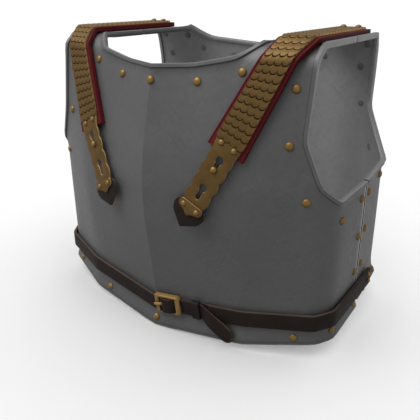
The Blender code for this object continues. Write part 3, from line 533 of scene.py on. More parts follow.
def mirrored(point, side):
    return Vector((point[0] * side, point[1], point[2]))


def side_name(side):
    return "left" if side > 0 else "right"


def linked(thing):
    bpy.context.scene.collection.objects.link(thing)
    return thing


def placed(name, mesh):
    """Turn a mesh in the tables' millimetres into an object of the scene in metres."""
    bmesh.ops.translate(mesh, verts=mesh.verts, vec=(0, -DEPTH_ORIGIN, 0))
    bmesh.ops.scale(mesh, verts=mesh.verts, vec=(MM, MM, MM))
    data = bpy.data.meshes.new(name)
    mesh.to_mesh(data)
    mesh.free()
    return linked(bpy.data.objects.new(name, data))


def add(name, mesh, materials, replaced=(), smooth=SMOOTH):
    """Put a mesh on the cuirass in place of CAD nodes, shaded smoothly up to an angle."""
    thing = placed(name, mesh)
    data = thing.data
    for material in materials:
        data.materials.append(material)
    data.polygons.foreach_set("use_smooth", [True] * len(data.polygons))
    data.set_sharp_from_angle(angle=math.radians(smooth))
    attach(thing, "root")
    if replaced:
        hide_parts(*replaced)
    return thing


def bevel(thing, width, angle=BEVEL_ANGLE, segments=2):
    mod = thing.modifiers.new("bevel", "BEVEL")
    mod.width = width * MM
    mod.segments = segments
    mod.limit_method = "ANGLE"
    mod.angle_limit = math.radians(angle)


def solidify(thing, thickness, offset):
    mod = thing.modifiers.new("wall", "SOLIDIFY")
    mod.thickness = thickness * MM
    mod.offset = offset
    mod.use_even_offset = True
    return mod


def smooth_node():
    """Make the modifier group that shades a CAD node smoothly up to an angle."""
    group = bpy.data.node_groups.new("shade by angle", "GeometryNodeTree")
    group.is_modifier = True
    for way in ("INPUT", "OUTPUT"):
        group.interface.new_socket("Geometry", in_out=way, socket_type="NodeSocketGeometry")
    kinds = ("NodeGroupInput", "GeometryNodeSetShadeSmooth", "GeometryNodeSetShadeSmooth", "NodeGroupOutput")
    chain = [group.nodes.new(kind) for kind in kinds]
    for before, after in zip(chain, chain[1:]):
        group.links.new(before.outputs[0], after.inputs[0])
    edges = chain[2]
    edges.domain = "EDGE"
    angle = group.nodes.new("GeometryNodeInputMeshEdgeAngle")
    compare = group.nodes.new("FunctionNodeCompare")
    compare.operation = "LESS_THAN"
    compare.inputs[1].default_value = math.radians(SMOOTH)
    group.links.new(angle.outputs["Unsigned Angle"], compare.inputs[0])
    group.links.new(compare.outputs["Result"], edges.inputs["Shade Smooth"])
    return group


def dress(name, material, shading, width=0.0):
    """Give a CAD node a better material, smooth shading and, where a width is given, rounded edges."""
    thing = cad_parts[name]
    thing.data.materials.clear()
    thing.data.materials.append(material)
    thing.modifiers.new("weld", "WELD").merge_threshold = MERGE
    if width:
        bevel(thing, width, CAD_BEVEL_ANGLE)
    thing.modifiers.new("shade", "NODES").node_group = shading


# Plates


def filled(station):
    """Give a station's points, with a gap between two of them filled in a straight line."""
    points = [None if p is None else np.array(p, float) for p in station[1:]]
    known = [i for i, p in enumerate(points) if p is not None]
    for i in range(known[0], known[-1]):
        if points[i] is None:
            share = SHARES[Station._fields[i + 1]]
            points[i] = points[0] * (1 - share) + points[3] * share
    return points


def cell_count(pairs):
    spans = [np.linalg.norm(b - a) for a, b in pairs if a is not None and b is not None]
    return max(1, round(max(spans) / CELL))


def lattice(stations):
    """Spread points over a plate's half, with the cells between them and the rows that are creased."""
    rows = [filled(station) for station in stations]
    columns = list(zip(*rows))
    across = [cell_count(zip(a, b)) for a, b in zip(columns, columns[1:])]
    up = [cell_count(zip(a, b)) for a, b in zip(rows, rows[1:])]
    points, cells, creased = {}, set(), set()
    base_i = 0
    for i, rise in enumerate(up):
        base_j = 0
        for j, run in enumerate(across):
            corners = (rows[i][j], rows[i][j + 1], rows[i + 1][j], rows[i + 1][j + 1])
            if all(c is not None for c in corners):
                for a in range(rise + 1):
                    for b in range(run + 1):
                        s, t = a / rise, b / run
                        low = corners[0] * (1 - t) + corners[1] * t
                        high = corners[2] * (1 - t) + corners[3] * t
                        points[(base_i + a, base_j + b)] = low * (1 - s) + high * s
                cells.update((base_i + a, base_j + b) for a in range(rise) for b in range(run))
            base_j += run
        if stations[i].level in CREASES:
            creased.add(base_i)
        base_i += rise
    return points, cells, creased


def touching(cells, key):
    """Give the cells that meet at a point."""
    i, j = key
    return [c for c in ((i, j), (i - 1, j), (i, j - 1), (i - 1, j - 1)) if c in cells]


def joined(cells, key):
    """Give the points next to a point, each with whether the line to it is on the plate's edge."""
    i, j = key
    found = []
    for di, dj, sides in (
        (0, 1, ((i, j), (i - 1, j))), (0, -1, ((i, j - 1), (i - 1, j - 1))),
        (1, 0, ((i, j), (i, j - 1))), (-1, 0, ((i - 1, j), (i - 1, j - 1))),
    ):
        number = sum(side in cells for side in sides)
        if number:
            found.append(((i + di, j + dj), number == 1))
    return found


def smoothed(points, cells, creased):
    """Draw each point towards its neighbours. Edges and creases are smoothed less, along their own lines."""
    for turn in range(SMOOTHINGS):
        moved = {}
        for key, point in points.items():
            around = joined(cells, key)
            if key[1] == 0:
                keep = [k for k, on_edge in around if k[1] == 0 and key[0] not in creased]
            elif key[0] in creased:
                keep = [k for k, on_edge in around if k[0] == key[0]]
            elif len(touching(cells, key)) == 4:
                keep = [k for k, on_edge in around]
            else:
                keep = [k for k, on_edge in around if on_edge]
            held = turn >= EDGE_SMOOTHINGS and (len(touching(cells, key)) != 4 or key[0] in creased)
            if held or len(touching(cells, key)) == 1 or len(keep) < 2:
                moved[key] = point
                continue
            target = sum(points[k] for k in keep) / len(keep)
            moved[key] = point * (1 - PULL) + target * PULL
        points = moved
    return points


def edge_chain(cells, start, stop):
    """Give the points along the plate's edge from one to another."""
    chain = [start]
    previous = None
    while chain[-1] != stop:
        near = [k for k, on_edge in joined(cells, chain[-1]) if on_edge]
        options = [k for k in near if k != previous and k not in chain]
        if len(chain) == 1:
            options = [k for k in options if k[1] != start[1]]
        previous = chain[-1]
        chain.append(options[0])
    return chain


def openings(points):
    """Give both ends of the neck's edge and of the arm's."""
    top = max(i for i, j in points)
    top_row = sorted(j for i, j in points if i == top)
    last_column = max(j for i, j in points)
    neck_start = (max(i for i, j in points if j == 0), 0)
    arm_start = (max(i for i, j in points if j == last_column), last_column)
    return (neck_start, (top, top_row[0])), (arm_start, (top, top_row[-1]))


def reach_from(key, cells, points):
    """Give the way to an edge point from the cells that meet there."""
    middles = []
    for i, j in touching(cells, key):
        corners = [Vector(points[k]) for k in ((i, j), (i, j + 1), (i + 1, j), (i + 1, j + 1))]
        middles.append(sum(corners, Vector()) / 4)
    return Vector(points[key]) - sum(middles, Vector()) / len(middles)


def outward(chain, k, made, points, cells):
    """Give the way in which the rim grows from an edge point, longer where the edge turns."""
    here = Vector(points[chain[k]])
    normal = made[chain[k]].normal.copy()
    steps = []
    if k > 0:
        steps.append((here - Vector(points[chain[k - 1]])).normalized())
    if k < len(chain) - 1:
        steps.append((Vector(points[chain[k + 1]]) - here).normalized())
    if chain[k][1] == 0:
        way, scale = Vector((0, *(steps[0].cross(normal))[1:])), 1.0
    elif k in (0, len(chain) - 1):
        beside = [key for key, on_edge in joined(cells, chain[k]) if on_edge and key not in chain]
        return (here - Vector(points[beside[0]])).normalized()
    else:
        tangent = (steps[0] + steps[1]).normalized()
        way, scale = tangent.cross(normal), 1 / max(LEAST_TURN, tangent.dot(steps[0]))
    if way.dot(reach_from(chain[k], cells, points)) < 0:
        way = -way
    return way.normalized() * scale


def add_rim(mesh, layers, chain, made, points, cells):
    """Grow the rim's rings from an edge of the wall."""
    rows = [[made[key] for key in chain]]
    ways = [outward(chain, k, made, points, cells) for k in range(len(chain))]
    # The neck's rim keeps less painted highlight; the painted shade in its groove stays whole
    share = NECK_HIGHLIGHT_SHARE if chain[0][1] == 0 else 1.0
    for ring in RIM[1:]:
        row = []
        for key, way in zip(chain, ways):
            vertex = mesh.verts.new(Vector(points[key]) + way * ring.reach)
            vertex[layers["wall"]] = ring.thickness / RIM_THICKNESS
            vertex[layers["rim"]] = max(ring.light, 0.0) * share + min(ring.light, 0.0)
            vertex[layers["hem"]] = vertex[layers["seam"]] = FAR
            row.append(vertex)
        rows.append(row)
    for low, high in zip(rows, rows[1:]):
        for k in range(len(chain) - 1):
            mesh.faces.new((low[k], low[k + 1], high[k + 1], high[k]))


def plate_mesh(stations):
    """Build the middle sheet of a plate's half, and give it with the edges of its ridge."""
    points, cells, creased = lattice(stations)
    points = smoothed(points, cells, creased)
    mesh = bmesh.new()
    for name in ("wall", "rim", "hem", "seam"):
        mesh.verts.layers.float.new(name)
    layers = {name: mesh.verts.layers.float[name] for name in ("wall", "rim", "hem", "seam")}
    made = {key: mesh.verts.new(point) for key, point in points.items()}
    last = max(j for i, j in points)
    for (i, j), vertex in made.items():
        near_hem = i < 3 and (0, j) in made
        near_seam = j > last - 3 and (i, last) in made
        vertex[layers["hem"]] = (vertex.co - made[(0, j)].co).length if near_hem else FAR
        vertex[layers["seam"]] = (vertex.co - made[(i, last)].co).length if near_seam else FAR
        vertex[layers["wall"]] = WALL / RIM_THICKNESS
    for i, j in sorted(cells):
        mesh.faces.new((made[(i, j)], made[(i, j + 1)], made[(i + 1, j + 1)], made[(i + 1, j)]))
    mesh.normal_update()
    for (i, j), vertex in made.items():
        if i == 0:
            vertex.co.z = max(vertex.co.z, WALL / 2 * abs(vertex.normal.z) + FLOOR_CLEAR)
    for start, stop in openings(points):
        add_rim(mesh, layers, edge_chain(cells, start, stop), made, points, cells)
    bmesh.ops.recalc_face_normals(mesh, faces=mesh.faces)
    flat = Vector((1, 1, 0))
    if sum(face.normal.dot((face.calc_center_median() - MIDDLE) * flat) for face in mesh.faces) < 0:
        bmesh.ops.reverse_faces(mesh, faces=mesh.faces)
    mesh.verts.index_update()
    rise = [(made[(i, 0)], made[(i + 1, 0)]) for i, j in points if j == 0 and (i + 1, 0) in points]
    return mesh, {frozenset((low.index, high.index)) for low, high in rise}


def shell(name, stations, looks, replaced):
    """Build a plate from its half: a wall with a proud rim along its neck and arm openings."""
    mesh, ridge = plate_mesh(stations)
    wall = mesh.verts.layers.float["wall"]
    weights = [vertex[wall] for vertex in mesh.verts]
    # The inner face takes the lighter steel, painted light
    thing = add(name, mesh, (looks.plate, looks.lining), (replaced,), SHELL_SMOOTH)
    for edge in thing.data.edges:
        if frozenset(edge.vertices) in ridge:
            edge.use_edge_sharp = True
    mirror = thing.modifiers.new("other half", "MIRROR")
    mirror.use_clip = True
    mirror.merge_threshold = MERGE
    group = thing.vertex_groups.new(name="wall")
    for index, weight in enumerate(weights):
        group.add([index], weight, "REPLACE")
    solid = solidify(thing, RIM_THICKNESS, 0)
    solid.vertex_group = group.name
    solid.material_offset = 1
    bevel(thing, EDGE_BEVEL, EDGE_ANGLE)
    return thing


# Straps


def rounded(folds, setback):
    """Open each fold of a band into three rows, at a distance from the fold and in the middle."""
    rows = [(Vector(fold.inner), Vector(fold.outer)) for fold in folds]
    out = [rows[0]]
    for before, here, after in zip(rows, rows[1:], rows[2:]):
        first = [h + (b - h).normalized() * setback for h, b in zip(here, before)]
        last = [h + (a - h).normalized() * setback for h, a in zip(here, after)]
        middle = [f * 0.25 + h * 0.5 + e * 0.25 for f, h, e in zip(first, here, last)]
        out += [tuple(first), tuple(middle), tuple(last)]
    out.append(rows[-1])
    return out


def strip_rows():
    """Give the scale strip's lower face: inside the backing's margins, and short of its ends."""
    inset = []
    for inner, outer in rounded(STRAP, BEND):
        way = (outer - inner).normalized()
        inset.append((inner + way * BACKING_MARGIN, outer - way * BACKING_MARGIN))
    start = KEY_ORIGIN + KEY_UP * STRIP_START
    first, second = inset[0], inset[1]
    run = [(b - a).normalized() for a, b in zip(first, second)]
    inset[0] = tuple(p + r * (start - p).dot(KEY_UP) / r.dot(KEY_UP) for p, r in zip(first, run))
    last, before = inset[-1], inset[-2]
    inset[-1] = tuple(p + (b - p).normalized() * STRIP_END_MARGIN for p, b in zip(last, before))
    return inset


class Path:
    """The strip's face as a place for each distance along it and share of its width."""

    def __init__(self, rows):
        self.rows = rows
        middles = [(a + b) / 2 for a, b in rows]
        self.marks = [0.0]
        for a, b in zip(middles, middles[1:]):
            self.marks.append(self.marks[-1] + (b - a).length)
        self.length = self.marks[-1]

    def leg(self, along):
        k = 0
        while k < len(self.marks) - 2 and along > self.marks[k + 1]:
            k += 1
        return k

    def at(self, along, share, height):
        k = self.leg(along)
        t = (along - self.marks[k]) / (self.marks[k + 1] - self.marks[k])
        inner, outer = (low.lerp(high, t) for low, high in zip(self.rows[k], self.rows[k + 1]))
        return inner.lerp(outer, share) + self.normal(along) * height

    def normal(self, along):
        """Give the way out of the face, evened over a short stretch."""
        total = Vector()
        for shift in (-NORMAL_SPAN, 0.0, NORMAL_SPAN):
            k = self.leg(min(max(along + shift, 0.0), self.length))
            low, high = self.rows[k], self.rows[k + 1]
            run = (high[0] + high[1]) - (low[0] + low[1])
            total += (low[1] - low[0]).cross(run).normalized()
        return total.normalized()


def scallop(share):
    """Say how far a scale's edge hangs below its cusps."""
    part = (share * SCALLOPS) % 1.0
    return SCALLOP_DEPTH * (1 - (2 * part - 1) ** 2) ** SCALLOP_POWER


def quads(mesh, rows, side, material=0):
    """Join rows of vertices with faces that look the same way on both sides of the body."""
    for left, right in zip(rows, rows[1:]):
        for k in range(len(left) - 1):
            face = (left[k], right[k], right[k + 1], left[k + 1])
            mesh.faces.new(face if side > 0 else face[::-1]).material_index = material


def loft(mesh, rings, edges=(), ends=0):
    """Join closed rings and cap both ends, with the second material on some of the sides and on the ends."""
    size = len(rings[0])
    for low, high in zip(rings, rings[1:]):
        for k in range(size):
            face = mesh.faces.new((low[k], low[(k + 1) % size], high[(k + 1) % size], high[k]))
            face.material_index = 1 if k in edges else 0
    mesh.faces.new(rings[0]).material_index = ends
    mesh.faces.new(rings[-1][::-1]).material_index = ends
    bmesh.ops.recalc_face_normals(mesh, faces=mesh.faces)


def scale_row(mesh, path, start, end, first, last, side):
    """Build one row of scales. The first hangs over the key plate, and the last ends straight."""
    steps = SCALLOPS * SCALLOP_STEPS
    raised = STRIP_HEIGHT + GAP
    sunk = raised - SCALE_TILT
    base = FOOT_BASE if first else SCALE_BASE
    columns, line = [], []
    for k in range(steps + 1):
        share = k / steps
        low = start + SCALLOP_DEPTH - scallop(share) + (0 if first else SCALE_GAP / 2)
        high = end if last else end + SCALLOP_DEPTH - scallop(share) - SCALE_GAP / 2
        high = min(high, path.length)
        lip = low + (high - low) * SCALE_LIP
        middle = low + (high - low) * SCALE_MIDDLE
        profile = (
            (low, base), (low, raised - LIP_DROP), (lip, raised), (middle, (raised + sunk) / 2),
            (high, sunk), (high, SCALE_BASE),
        )
        columns.append([mesh.verts.new(mirrored(path.at(a, share, h), side)) for a, h in profile])
        # Under the first row's edge lies a near-black strip, a painted shadow
        if first:
            under = [path.at(a, share, FOOT_BASE + LINE_UP) for a in (low - SCALE_GAP, low + SCALE_GAP)]
            line.append([mesh.verts.new(mirrored(place, side)) for place in under])
    quads(mesh, line, side, SHADOW_SLOT)
    quads(mesh, columns, side)
    # The row's ends take the lighter brass, a painted highlight
    for column, flip in ((columns[0], side < 0), (columns[-1], side > 0)):
        mesh.faces.new(column[::-1] if flip else column).material_index = HIGHLIGHT_SLOT


def add_scales(side, looks):
    """Build a strap's rows of scales over their dark base, painted shade in the gaps, and give the path they
    lie on.
    """
    word = side_name(side)
    path = Path(strip_rows())
    mesh = bmesh.new()
    pitch = (path.length - FOOT_START) / SCALE_ROWS
    for row in range(SCALE_ROWS):
        start = FOOT_START + pitch * row
        scale_row(mesh, path, start, start + pitch, row == 0, row == SCALE_ROWS - 1, side)
    bmesh.ops.recalc_face_normals(mesh, faces=mesh.faces)
    materials = (looks.brass, looks.rubbed, looks.patina)
    add(f"scales_{word}", mesh, materials, (f"scale_strip_{word}",), ROUND_SMOOTH)
    mesh = bmesh.new()
    left, right = BASE_SIDES
    shape = ((left, GAP), (left, BASE_TOP), (right, BASE_TOP), (right, GAP))
    columns = []
    for k in range(BASE_STEPS + 1):
        along = path.length * k / BASE_STEPS
        columns.append([mesh.verts.new(mirrored(path.at(along, s, h), side)) for s, h in shape])
    # The base's top is near-black, painted shade in the gaps between rows; its sides take the lighter brass,
    # a painted highlight
    loft(mesh, columns, (0, 2))
    add(f"scale_base_{word}", mesh, (looks.patina, looks.rubbed))
    return path


def key_point(down, across, out=0.0):
    return KEY_ORIGIN + KEY_DOWN * down + KEY_ACROSS * across + KEY_OUT * out


def half_outline(halves, point):
    right = [(h.down, h.across) for h in halves]
    left = [(h.down, -h.across) for h in reversed(halves)]
    return right + [(point, 0.0)] + left


def lobed_outline():
    right = [(0.0, KEY_HALF)]
    for lobe in LOBES:
        for k in range(1, LOBE_STEPS + 1):
            t = k / LOBE_STEPS
            half = lobe.half + lobe.bulge * math.sin(math.pi * t)
            right.append((lobe.start + (lobe.end - lobe.start) * t, half))
    right.append((KEY_END, LOBES[-1].half))
    return right + [(down, -across) for down, across in reversed(right)]


def keyhole_outline(hole):
    half_angle = math.asin(hole.slot_half / hole.radius)
    outline = []
    for k in range(ARC_STEPS + 1):
        angle = half_angle + (2 * math.pi - 2 * half_angle) * k / ARC_STEPS
        outline.append((hole.centre + hole.radius * math.cos(angle), hole.radius * math.sin(angle)))
    bottom = hole.slot_end - hole.slot_half
    for k in range(ARC_STEPS // 2 + 1):
        angle = -math.pi / 2 + math.pi * k / (ARC_STEPS // 2)
        outline.append((bottom + hole.slot_half * math.cos(angle), hole.slot_half * math.sin(angle)))
    return outline


def softened(outline):
    """Cut an outline's corners, which turns its straight stretches into curves."""
    out = []
    for a, b in zip(outline, outline[1:] + outline[:1]):
        out.append((a[0] + (b[0] - a[0]) * CORNER_CUT, a[1] + (b[1] - a[1]) * CORNER_CUT))
        out.append((b[0] + (a[0] - b[0]) * CORNER_CUT, b[1] + (a[1] - b[1]) * CORNER_CUT))
    return out


def sheet(mesh, outlines, level, side):
    """Fill an outline and its holes in the keyhole plate's plane, with faces that look outward."""
    edges = []
    for outline in outlines:
        verts = [mesh.verts.new(mirrored(key_point(down, across, level), side)) for down, across in outline]
        edges += [mesh.edges.new((a, b)) for a, b in zip(verts, verts[1:] + verts[:1])]
    filled_in = bmesh.ops.triangle_fill(mesh, use_beauty=True, use_dissolve=False, edges=edges)
    out = mirrored(KEY_OUT, side)
    for face in [item for item in filled_in["geom"] if isinstance(item, bmesh.types.BMFace)]:
        face.normal_update()
        if face.normal.dot(out) < 0:
            face.normal_flip()


def thicken(thing, thickness, width):
    """Give a sheet its thickness and rounded edges, with its second material on the cut."""
    solidify(thing, thickness, 1).material_offset_rim = 1
    bevel(thing, width)


def add_key_plate(side, looks):
    """Build a keyhole plate with its fold, and the end piece and the leather tab below it."""
    word = side_name(side)
    mesh = bmesh.new()
    sheet(mesh, [lobed_outline()] + [keyhole_outline(hole) for hole in KEYHOLES], 0.0, side)
    inner, outer = strip_rows()[0]
    way = (outer - inner).normalized()
    top = [p - KEY_UP * KEY_TOP_GAP for p in (outer - way * KEY_TOP_MARGIN, inner + way * KEY_TOP_MARGIN)]
    fold = [key_point(0, -KEY_HALF), key_point(0, KEY_HALF)]
    face = [mesh.verts.new(mirrored(p, side)) for p in (*fold, *top)]
    mesh.faces.new(face if side > 0 else face[::-1])
    bmesh.ops.remove_doubles(mesh, verts=mesh.verts, dist=JOIN)
    # The plates' cut sides take the lighter brass, a painted highlight
    metal = (looks.brass, looks.rubbed)
    thing = add(f"key_plate_{word}", mesh, metal, (f"keyhole_plate_{word}",), KEY_SMOOTH)
    thicken(thing, KEY_PLATE, KEY_BEVEL)
    tip = half_outline(TIP, TIP_POINT)
    tab = half_outline(TAB_SHAPE, TAB_POINT)
    brown = (looks.brown, looks.brown_edge)
    for name, node, outline, level, thickness, materials, slot in (
        ("tip", "end_tip", tip, KEY_PLATE + GAP, TIP_PLATE, metal, "brass"),
        ("tab", "leather_tab", tab, KEY_PLATE - TAB, TAB, brown, "dark_leather"),
    ):
        mesh = bmesh.new()
        sheet(mesh, [softened(outline)], level, side)
        thing = add(f"{name}_{word}", mesh, materials, (f"{node}_{word}",))
        thicken(thing, thickness, TIP_BEVEL)


# Leather bands


def bent(rows, reach):
    """Open each row's fold into a curve that starts and ends at a distance from it."""
    rows = [np.array(row, float) for row in rows]
    out = [rows[0]]
    for before, here, after in zip(rows, rows[1:], rows[2:]):
        first = before - here
        last = after - here
        start = here + first * min(MOST_BEND, reach / np.linalg.norm(first[:3]))
        end = here + last * min(MOST_BEND, reach / np.linalg.norm(last[:3]))
        for k in range(BEND_STEPS + 1):
            t = k / BEND_STEPS
            out.append(start * (1 - t) ** 2 + here * 2 * t * (1 - t) + end * t * t)
    out.append(rows[-1])
    return out


def section(width, thickness, creased):
    """Give a band's rounded section as distances across and up, with its pressed lines if it is creased."""
    radius = min(LEATHER_ROUND, thickness * MOST_ROUND)
    right, top = width - radius, thickness - radius
    points = []
    for x, y, start in ((radius, radius, 2), (right, radius, 3), (right, top, 0), (radius, top, 1)):
        for k in range(ARC + 1):
            angle = math.pi / 2 * (start + k / ARC)
            points.append((x + radius * math.cos(angle), y + radius * math.sin(angle)))
        if start == 0 and creased:
            for middle in (width - CREASE_IN, CREASE_IN):
                points += [(middle + CREASE_HALF, thickness), (middle, thickness - CREASE_DEPTH)]
                points.append((middle - CREASE_HALF, thickness))
    return points


def run_at(rows, k):
    """Give the way a band runs at one of its rows."""
    low, high = rows[max(0, k - 1)], rows[min(len(rows) - 1, k + 1)]
    return Vector(high[:3]) + Vector(high[3:6]) - Vector(low[:3]) - Vector(low[3:6])


def band(name, rows, side, materials, replaced, creased=False):
    """Loft a leather band over rows of first edge, second edge and thickness, which grows outward."""
    mesh = bmesh.new()
    rings = []
    for k, row in enumerate(rows):
        first, second, thickness = Vector(row[:3]), Vector(row[3:6]), row[6]
        across = second - first
        normal = across.cross(run_at(rows, k)).normalized()
        way = across.normalized()
        points = section(across.length, thickness, creased)
        rings.append([mesh.verts.new(mirrored(first + way * x + normal * y, side)) for x, y in points])
    # The underside, the first long side and the ends take the lighter cut leather, which on the first side,
    # the belt's top edge, is also a painted highlight
    loft(mesh, rings, (ARC, len(rings[0]) - 1), 1)
    return add(name, mesh, materials, (replaced,))


class Bearing:
    """The plane in which the belt's front runs from the ridge to the wearer's left."""

    def __init__(self):
        ridge, fore = BELT_LINE[0], BELT_LINE[1]
        self.start = Vector(ridge.lower)
        self.along = (Vector(fore.lower) - self.start).normalized()
        self.out = self.along.cross(Vector(ridge.upper) - self.start).normalized()
        self.up = self.out.cross(self.along).normalized()

    def at(self, along, up, out):
        return self.start + self.along * along + self.up * up + self.out * out


def row_of(first, second, thickness):
    return (*first, *second, thickness)


def lap_rows(laps, bearing):
    rows = []
    for along, under, thickness in laps:
        rows.append(row_of(bearing.at(along, BELT_WIDTH, under), bearing.at(along, 0, under), thickness))
    return rows


def belt_rows(side):
    return [row_of(mirrored(p.upper, side), mirrored(p.lower, side), BELT) for p in BELT_LINE]


def carve(thing, bearing, along, up, out):
    """Cut a block, given by its bounds, out of a belt and keep the result as its mesh."""
    mesh = bmesh.new()
    bmesh.ops.create_cube(mesh, size=1)
    for vertex in mesh.verts:
        place = (low + (high - low) * (c + 0.5) for c, (low, high) in zip(vertex.co, (along, up, out)))
        vertex.co = bearing.at(*place)
    bmesh.ops.recalc_face_normals(mesh, faces=mesh.faces)
    tool = placed("carver", mesh)
    boolean = thing.modifiers.new("slot", "BOOLEAN")
    boolean.operation = "DIFFERENCE"
    boolean.object = tool
    graph = bpy.context.evaluated_depsgraph_get()
    result = bpy.data.meshes.new_from_object(thing.evaluated_get(graph))
    thing.modifiers.remove(boolean)
    thing.data = result
    bpy.data.objects.remove(tool)


def add_belts(looks):
    """Build the belt's two halves and its keeper. The right half runs on over the left and ends free."""
    bearing = Bearing()
    brown = (looks.brown, looks.brown_edge)
    left = bent([*lap_rows(LOWER_LAP, bearing), *belt_rows(1)[1:]], BELT_BEND)
    band("belt_strap_left", left, 1, brown, "belt_left")
    rows = [*belt_rows(-1)[:0:-1], *lap_rows(UPPER_LAP, bearing)]
    run = Vector(TONGUE[2].upper) - Vector(TONGUE[0].upper)
    for row in TONGUE:
        upper, lower = Vector(row.upper), Vector(row.lower)
        inward = (upper - lower).cross(run).normalized() * row.thickness
        rows.append(row_of(upper + inward, lower + inward, row.thickness))
    strap = band("belt_strap_right", bent(rows, BELT_BEND), 1, brown, "belt_right")
    level = (PRONG_LEVEL - SLOT_HALF, PRONG_LEVEL + SLOT_HALF)
    carve(strap, bearing, (SLOT_START, SLOT_END), level, (SLOT_BACK, SLOT_FRONT))
    add_keeper(bearing, looks)


def add_keeper(bearing, looks):
    """Build the leather loop round the belt, rounded over its top and bottom."""
    low, high = -GAP - LOOP_SIDE, BELT_WIDTH + GAP + LOOP_SIDE
    shape = [(low, LOOP_BACK)] + [(low + across, LOOP_FRONT - down) for across, down in LOOP_ROUND]
    shape += [(high - across, LOOP_FRONT - down) for across, down in LOOP_ROUND[::-1]] + [(high, LOOP_BACK)]
    top, front = BELT_WIDTH + GAP, BELT + GAP
    shape += [(top, LOOP_BACK), (top, front), (-GAP, front), (-GAP, LOOP_BACK)]
    mesh = bmesh.new()
    rings = [[mesh.verts.new(bearing.at(a, u, o)) for u, o in shape] for a in (KEEPER_START, KEEPER_END)]
    loft(mesh, rings)
    bevel(add("keeper_loop", mesh, (looks.brown,), ("keeper",)), LOOP_BEVEL, segments=3)


def add_backing(side, looks):
    """Build a strap's red leather, whose face is the table's and whose thickness lies under it."""
    faces = bent([row_of(fold.inner, fold.outer, BACKING) for fold in STRAP], BEND)
    under = []
    for k, row in enumerate(faces):
        first, second = Vector(row[:3]), Vector(row[3:6])
        drop = (second - first).cross(run_at(faces, k)).normalized() * BACKING
        under.append(row_of(first - drop, second - drop, BACKING))
    word, red = side_name(side), (looks.red, looks.red_edge)
    band(f"strap_leather_{word}", under, side, red, f"strap_backing_{word}", True)


# Rivets


def surface(thing):
    """Give an object's evaluated surface in millimetres, to seat heads on."""
    graph = bpy.context.evaluated_depsgraph_get()
    made = thing.evaluated_get(graph)
    mesh = bmesh.new()
    mesh.from_mesh(made.to_mesh())
    bmesh.ops.scale(mesh, verts=mesh.verts, vec=(1 / MM, 1 / MM, 1 / MM))
    bmesh.ops.translate(mesh, verts=mesh.verts, vec=(0, DEPTH_ORIGIN, 0))
    tree = BVHTree.FromBMesh(mesh)
    mesh.free()
    made.to_mesh_clear()
    return tree


def seat(tree, point, out, radius):
    """Move a point out until a disc round it clears the surface."""
    side = out.orthogonal().normalized()
    other = out.cross(side)
    heights = []
    for k in range(HEAD_STEPS + 1):
        angle = 2 * math.pi * k / HEAD_STEPS
        spread = 0 if k == HEAD_STEPS else radius
        start = point + (side * math.cos(angle) + other * math.sin(angle)) * spread + out * SEAT_REACH
        hit = tree.ray_cast(start, -out, 2 * SEAT_REACH)
        if hit[0] is not None:
            heights.append(SEAT_REACH - hit[3])
    return point + out * max(heights, default=0.0)


def add_head(mesh, base, out, head, shank=None, foot=0.0):
    """Turn a domed head on its base, with a shank below it where one is given."""
    profile = [(0.0, head.height)]
    for k in range(1, HEAD_RINGS + 1):
        angle = math.pi / 2 * k / HEAD_RINGS
        profile.append((head.radius * math.sin(angle), head.height * math.cos(angle)))
    profile += [(shank, 0.0), (shank, -foot), (0.0, -foot)] if shank else [(0.0, 0.0)]
    part = bmesh.new()
    verts = [part.verts.new((x, 0, z)) for x, z in profile]
    edges = [part.edges.new(pair) for pair in zip(verts, verts[1:])]
    full = {"angle": 2 * math.pi, "steps": HEAD_STEPS, "use_merge": True}
    bmesh.ops.spin(part, geom=verts + edges, axis=(0, 0, 1), cent=(0, 0, 0), **full)
    bmesh.ops.remove_doubles(part, verts=part.verts, dist=HEAD_JOIN)
    bmesh.ops.recalc_face_normals(part, faces=part.faces)
    turn = Vector((0, 0, 1)).rotation_difference(out).to_matrix().to_4x4()
    bmesh.ops.transform(part, matrix=Matrix.Translation(base) @ turn, verts=part.verts)
    data = bpy.data.meshes.new("head")
    part.to_mesh(data)
    part.free()
    mesh.from_mesh(data)
    bpy.data.meshes.remove(data)


def spots(table):
    for spot in table:
        for side in ((1,) if spot.x == 0 else (1, -1)):
            yield spot, side


def rivet_nodes(*rows):
    names = [name.split("_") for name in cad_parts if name.startswith("rivet_")]
    return ["_".join(name) for name in names if name[1] in rows]


def add_plate_rivets(plate, name, table, looks, replaced=()):
    """Build a plate's domed heads outside and its flat tails inside."""
    tree = surface(plate)
    heads, tails = bmesh.new(), bmesh.new()
    for spot, side in spots(table):
        near = mirrored(spot, side)
        away = (near - Vector((0, DEPTH_ORIGIN, min(near.z, YOKE)))).normalized()
        place, out, _, _ = tree.find_nearest(near + away * OUTSIDE)
        if out.dot(away) < 0:
            out = -out
        if spot.x == 0:
            place.x, out.x = 0, 0
            out.normalize()
        add_head(heads, seat(tree, place, out, PLATE_HEAD.radius), out, PLATE_HEAD)
        inner = tree.ray_cast(place - out * TAIL_REACH, out, TAIL_REACH)
        if inner[0] is not None:
            add_head(tails, seat(tree, inner[0], -out, TAIL_HEAD.radius * TAIL_SHARE), -out, TAIL_HEAD)
    add(f"{name}_rivets", heads, (looks.bright,), replaced, ROUND_SMOOTH)
    add(f"{name}_rivet_tails", tails, (looks.tails,))


